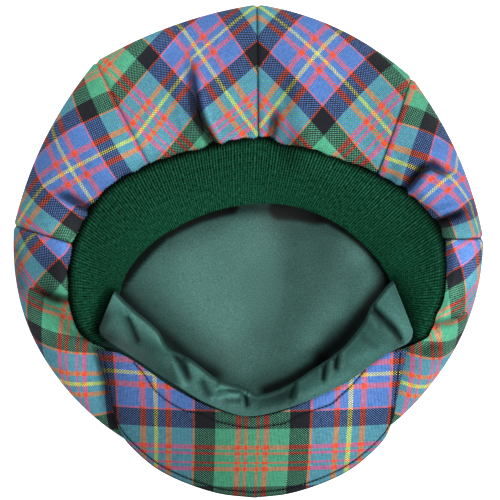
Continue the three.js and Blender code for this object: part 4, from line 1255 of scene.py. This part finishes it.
# Front facing: a loose strip of the lining's satin, sewn along the peak and rolled inwards.
# It lies slack, so it is crossed by folds and short creases, and its edge is tucked under.
FACING_HALF_WALL = 0.6
FACING_SEAT = 1.25
FACING_TOP = 47.5
FACING_SWELL = 2.0
FACING_ROLL = 2.4
FACING_TURNS = [60, 25, -10, -45, -75]
FACING_RETURN = 0.55
FACING_RETURN_DROP = 7.0
FACING_COLUMNS, FACING_ROWS, FACING_RETURN_ROWS = 420, 22, 7
FACING_EDGES = named_rows(
    "share outer_x outer_y fold_x fold_y fold_z",
    (0, -85, -51.2, -77.1, -31, 40),
    (0.012, -84.4, -54.6, -76.4, -30.8, 40),
    (0.032, -82, -57.2, -74.3, -33.2, 39),
    (0.1, -75.3, -62.1, -66.7, -40.8, 36),
    (0.2, -61.5, -71.3, -52.9, -52.9, 32),
    (0.27, -52.3, -77.6, -46.6, -63.3, 29),
    (0.37, -38.5, -86.3, -32.8, -70.7, 28),
    (0.46, -23.6, -94.9, -17.8, -81.7, 28),
    (0.54, -6.3, -101.2, -1.7, -86.8, 29),
    (0.6, 5.2, -101.5, 5.2, -90.6, 30),
    (0.68, 22.4, -97.2, 20.7, -86.3, 28),
    (0.77, 40.8, -90, 36.2, -76.5, 28),
    (0.86, 59.2, -80.5, 53.5, -64.1, 30),
    (0.93, 76.5, -67.3, 65, -50, 34),
    (0.96, 84.8, -62.6, 71, -38.5, 37),
    (0.98, 89.9, -59.9, 77, -30.4, 39),
    (0.99, 92.3, -57, 80.6, -26.2, 40),
    (1, 93.1, -52.8, 82.5, -25, 41),
)
# Creases and, with a depth below zero, ridges of the slack satin, from the centre of the crown.
FACING_CREASES = named_rows(
    "depth width line",
    (3, 2, [(-72.8, -39.8), (-69.9, -45.5), (-67.1, -50.6), (-63.1, -58.0)]),
    (3.6, 2.2, [(-45.5, -63.7), (-42.1, -67.6), (-38.1, -73.9), (-34.7, -81.3)]),
    (-2.4, 2, [(-51.2, -54.0), (-46.0, -63.1), (-42.1, -71.6), (-38.6, -81.3)]),
    (1.6, 2.6, [(-26.1, -80.7), (-23.3, -86.4), (-20.4, -92.1)]),
    (2, 1.3, [(-18.7, -88.7), (-11.9, -87.3), (-5.1, -87.8), (-1.1, -91.5)]),
    (-1.3, 1.3, [(-18.7, -85.3), (-9.6, -84.7), (-2.2, -87.0), (1.7, -91.0)]),
    (-1.3, 1.3, [(-19.9, -92.7), (-11.9, -89.8), (-5.1, -90.1), (-1.7, -93.8)]),
    (3.2, 1.2, [(-2.8, -89.8), (-1.7, -93.2), (-2.2, -96.7)]),
    (-1.4, 1.6, [(0.6, -96.7), (3.4, -93.8), (7.4, -93.2)]),
    (3, (4, 1.2), [(26.5, -81.5), (26, -87), (24, -93.2)]),
    (2.2, 1.2, [(44.4, -70.5), (43.3, -75.6), (42.2, -82.5)]),
    (2.2, 1.2, [(51.2, -64.2), (50.4, -69.4), (49.5, -76)]),
    (4.6, (2.8, 1.3), [(68.3, -37.5), (73.6, -42.8), (79.3, -47.9), (84.2, -53.4), (87.1, -58.5)]),
    (1.4, 1.5, [(72.3, -45.5), (75.1, -52.3)]),
)
FACING_FADE = 0.1
FACING_TAIL = 0.8
FACING_CREASED_AT = (0.0, 0.2)
# Painted shade in the deeper folds and, with a strength below zero, painted light on ridges that catch it.
FACING_SHADES = named_rows(
    "strength width line fall",
    (0.9, (2.2, 1.3), [(-68.8, -46), (-66.4, -51), (-63.1, -58.5)]),
    (0.6, 7, [(-79, -57), (-64.8, -66), (-56.3, -72), (-44.9, -81)]),
    (0.9, 2.9, [(-44.5, -64.8), (-38.5, -72.5), (-34.6, -80)]),
    (0.75, 4.5, [(-82, -45), (-86, -54), (-81, -58)]),
    (0.72, 2.8, [(-26.6, -83), (-23.6, -89.3)]),
    (0.85, 1.2, [(-1.7, -92.1), (-1.1, -96.1)]),
    (0.5, 1, [(-11.9, -88.1), (-5.1, -88.7), (-1.7, -92.1)]),
    (0.5, 2, [(-13.1, -93.2), (-5.1, -93.2)]),
    (0.75, 1.3, [(26.5, -82.4), (25.6, -87), (24, -91.5)]),
    (0.35, 4, [(21.5, -87), (19, -92)]),
    (0.92, 1.8, [(44.1, -70.5), (42.6, -81)]),
    (0.92, 1.8, [(51, -64.8), (49.8, -74.5)]),
    (0.96, (3.0, 1.1), [(70, -38.8), (77.3, -46), (83, -51.8), (86.5, -57.5)]),
    (0.55, 6, [(3.4, -95), (14.8, -93.2), (24.5, -89.8)]),
    (-0.9, 1.7, [(-50.6, -56.3), (-46, -64.8), (-41.5, -73.9), (-36.9, -84.1)]),
    (-0.65, 4, [(-75, -34.5), (-66, -43), (-56, -52), (-49.5, -58)]),
    (-0.5, 6, [(77.4, -33.5), (85.9, -45.5), (89.9, -52.3)]),
    (-0.8, 1.2, [(-15.3, -87), (-9.1, -84.7), (-2.8, -87), (0, -89.8)]),
    (-0.6, 1.1, [(-21, -92.1), (-13.6, -89.8), (-6.2, -90.4)]),
    (-0.35, 7, [(-32, -78), (-16, -88), (0, -93)]),
    (0.42, 4.5, [(-63, -57), (-55, -64)]),
    (-0.3, 3, [(60, -70), (70, -66), (79, -63)]),
    (-0.25, 2, [(30, -91), (45, -85), (57, -78)]),
    (0.3, 2.5, [(63, -50), (66, -58), (72, -62)]),
    (0.25, 3, [(33, -79), (38, -77)]),
    (-0.16, 12, [(10, -94), (30, -86), (46, -76), (60, -66), (68, -56)], 4),
    (-0.25, 5, [(-36, -71), (-29, -79)]),
)
# Painted shade: the lining's satin, a shade darker here, darker again all over and most on the underside.
FACING_SHADED_GREEN = (0.045, 0.128, 0.111)
FACING_SHADE = 0.84
FACING_UNDER_SHADE = 0.5

share = np.linspace(0, 1, FACING_COLUMNS)
row = curve_through(FACING_EDGES, "share", share)
outer = np.stack([row["outer_x"], row["outer_y"]], axis=-1)
fold = np.stack([row["fold_x"], row["fold_y"]], axis=-1)
width = np.linalg.norm(fold - outer, axis=-1) - FACING_ROLL
outer_z = np.minimum(peak_top(outer[:, 0], outer[:, 1]) + FACING_SEAT, FACING_TOP)
w = np.linspace(0, 1, FACING_ROWS)[:, None]
swell = FACING_SWELL * np.sin(math.pi * w)
upper = np.stack([width * w, outer_z + (row["fold_z"] - outer_z) * w + swell], axis=-1)
plan = from_centre(place_loops(upper, outer, fold))
creased = crease_depth(plan, FACING_CREASES, FACING_FADE, FACING_TAIL)
upper[..., 1] -= creased * ease(w, *FACING_CREASED_AT)
last = upper[-1]
roll = []
for turn in np.radians(FACING_TURNS):
    roll.append(last + np.array([math.cos(turn), math.sin(turn) - 1]) * FACING_ROLL)
under = last - np.array([0, 2 * FACING_ROLL])
drop = FACING_RETURN_DROP * np.sin(math.pi * share)
tucked = np.stack([width * (1 - FACING_RETURN), under[:, 1] - drop], axis=-1)
back = np.linspace(0, 1, FACING_RETURN_ROWS)[:, None, None]
line = np.concatenate([upper, np.array(roll), under + (tucked - under) * back])
over, below, along = ribbon_sides(line, FACING_HALF_WALL)
loops = place_loops(np.concatenate([over, below[::-1]]), outer, fold)
shade = np.full(loops.shape[:2], FACING_UNDER_SHADE * FACING_SHADE)
shade[:FACING_ROWS] = FACING_SHADE * soft_shade(plan, FACING_SHADES)
facing = swept_mesh("front_facing_satin", loops, {"shade": shade})
facing.data.materials.append(satin_material("facing_satin", FACING_SHADED_GREEN, roughness=0.45, specular=0.1))
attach(facing, "root")
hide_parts("front_facing")

# Stage: a plain white floor, soft light from above, and a camera that looks straight down.
# The camera is far off with a long lens, as in the photograph, with the peak at the bottom.
FLOOR_SIZE = 6.0
FLOOR_Z = -0.0003
FLOOR_WHITE = (0.9, 0.9, 0.9, 1)
FLOOR_GLOW = 1.0
WHITE = (1, 1, 1, 1)
WORLD_STRENGTH = 0.51
LIGHT_SIZE = 0.35
LIGHTS = named_rows(
    "name place power",
    ("key_light", (0.386, -0.386, 0.651), 4.9),
    ("right_light", (0.75, 0.1, 0.35), 0.9),
    ("back_light", (0.0, 0.546, 0.651), 2.95),
)
CAMERA_HEIGHT = 1.6
CAMERA_PLACE = (0.0006, -0.0004)
SENSOR_WIDTH = 36.0
FRAME_WIDTH = 0.2875
FRAME_LEVEL = 0.027

floor_mesh = bpy.data.meshes.new("floor")
end = FLOOR_SIZE / 2
floor_mesh.from_pydata([(x, y, FLOOR_Z) for x, y in ((-end, -end), (end, -end), (end, end), (-end, end))],
                       [], [(0, 1, 2, 3)])
floor = new_object("floor", floor_mesh)
paper, tree, shader = new_material("white_paper", roughness=0.9, sheen=0.0, specular=0.1)
shader.inputs["Base Color"].default_value = FLOOR_WHITE
shader.inputs["Emission Color"].default_value = WHITE
seen = add_node(tree, "ShaderNodeLightPath").outputs["Is Camera Ray"]
tree.links.new(calc(tree, "MULTIPLY", seen, FLOOR_GLOW), shader.inputs["Emission Strength"])
floor.data.materials.append(paper)

world = bpy.data.worlds.new("studio")
bpy.context.scene.world = world
world.use_nodes = True
world.node_tree.nodes["Background"].inputs["Color"].default_value = WHITE
world.node_tree.nodes["Background"].inputs["Strength"].default_value = WORLD_STRENGTH

# Square soft boxes, each aimed at the cap.
for row in LIGHTS:
    lamp = bpy.data.lights.new(row["name"], "AREA")
    lamp.shape = "SQUARE"
    lamp.size = LIGHT_SIZE
    lamp.energy = row["power"]
    light = new_object(row["name"], lamp)
    light.location = row["place"]
    aim = -np.array(row["place"])
    level = math.hypot(aim[0], aim[1])
    light.rotation_euler = (math.atan2(level, -aim[2]), 0, math.atan2(aim[1], aim[0]) - math.pi / 2)

lens = bpy.data.cameras.new("camera")
lens.sensor_width = SENSOR_WIDTH
lens.lens = SENSOR_WIDTH * (CAMERA_HEIGHT - FRAME_LEVEL) / FRAME_WIDTH
camera = new_object("camera", lens)
camera.location = (*CAMERA_PLACE, CAMERA_HEIGHT)
bpy.context.scene.camera = camera
bpy.context.scene.view_settings.view_transform = "Standard"
bpy.context.scene.cycles.denoising_prefilter = "NONE"
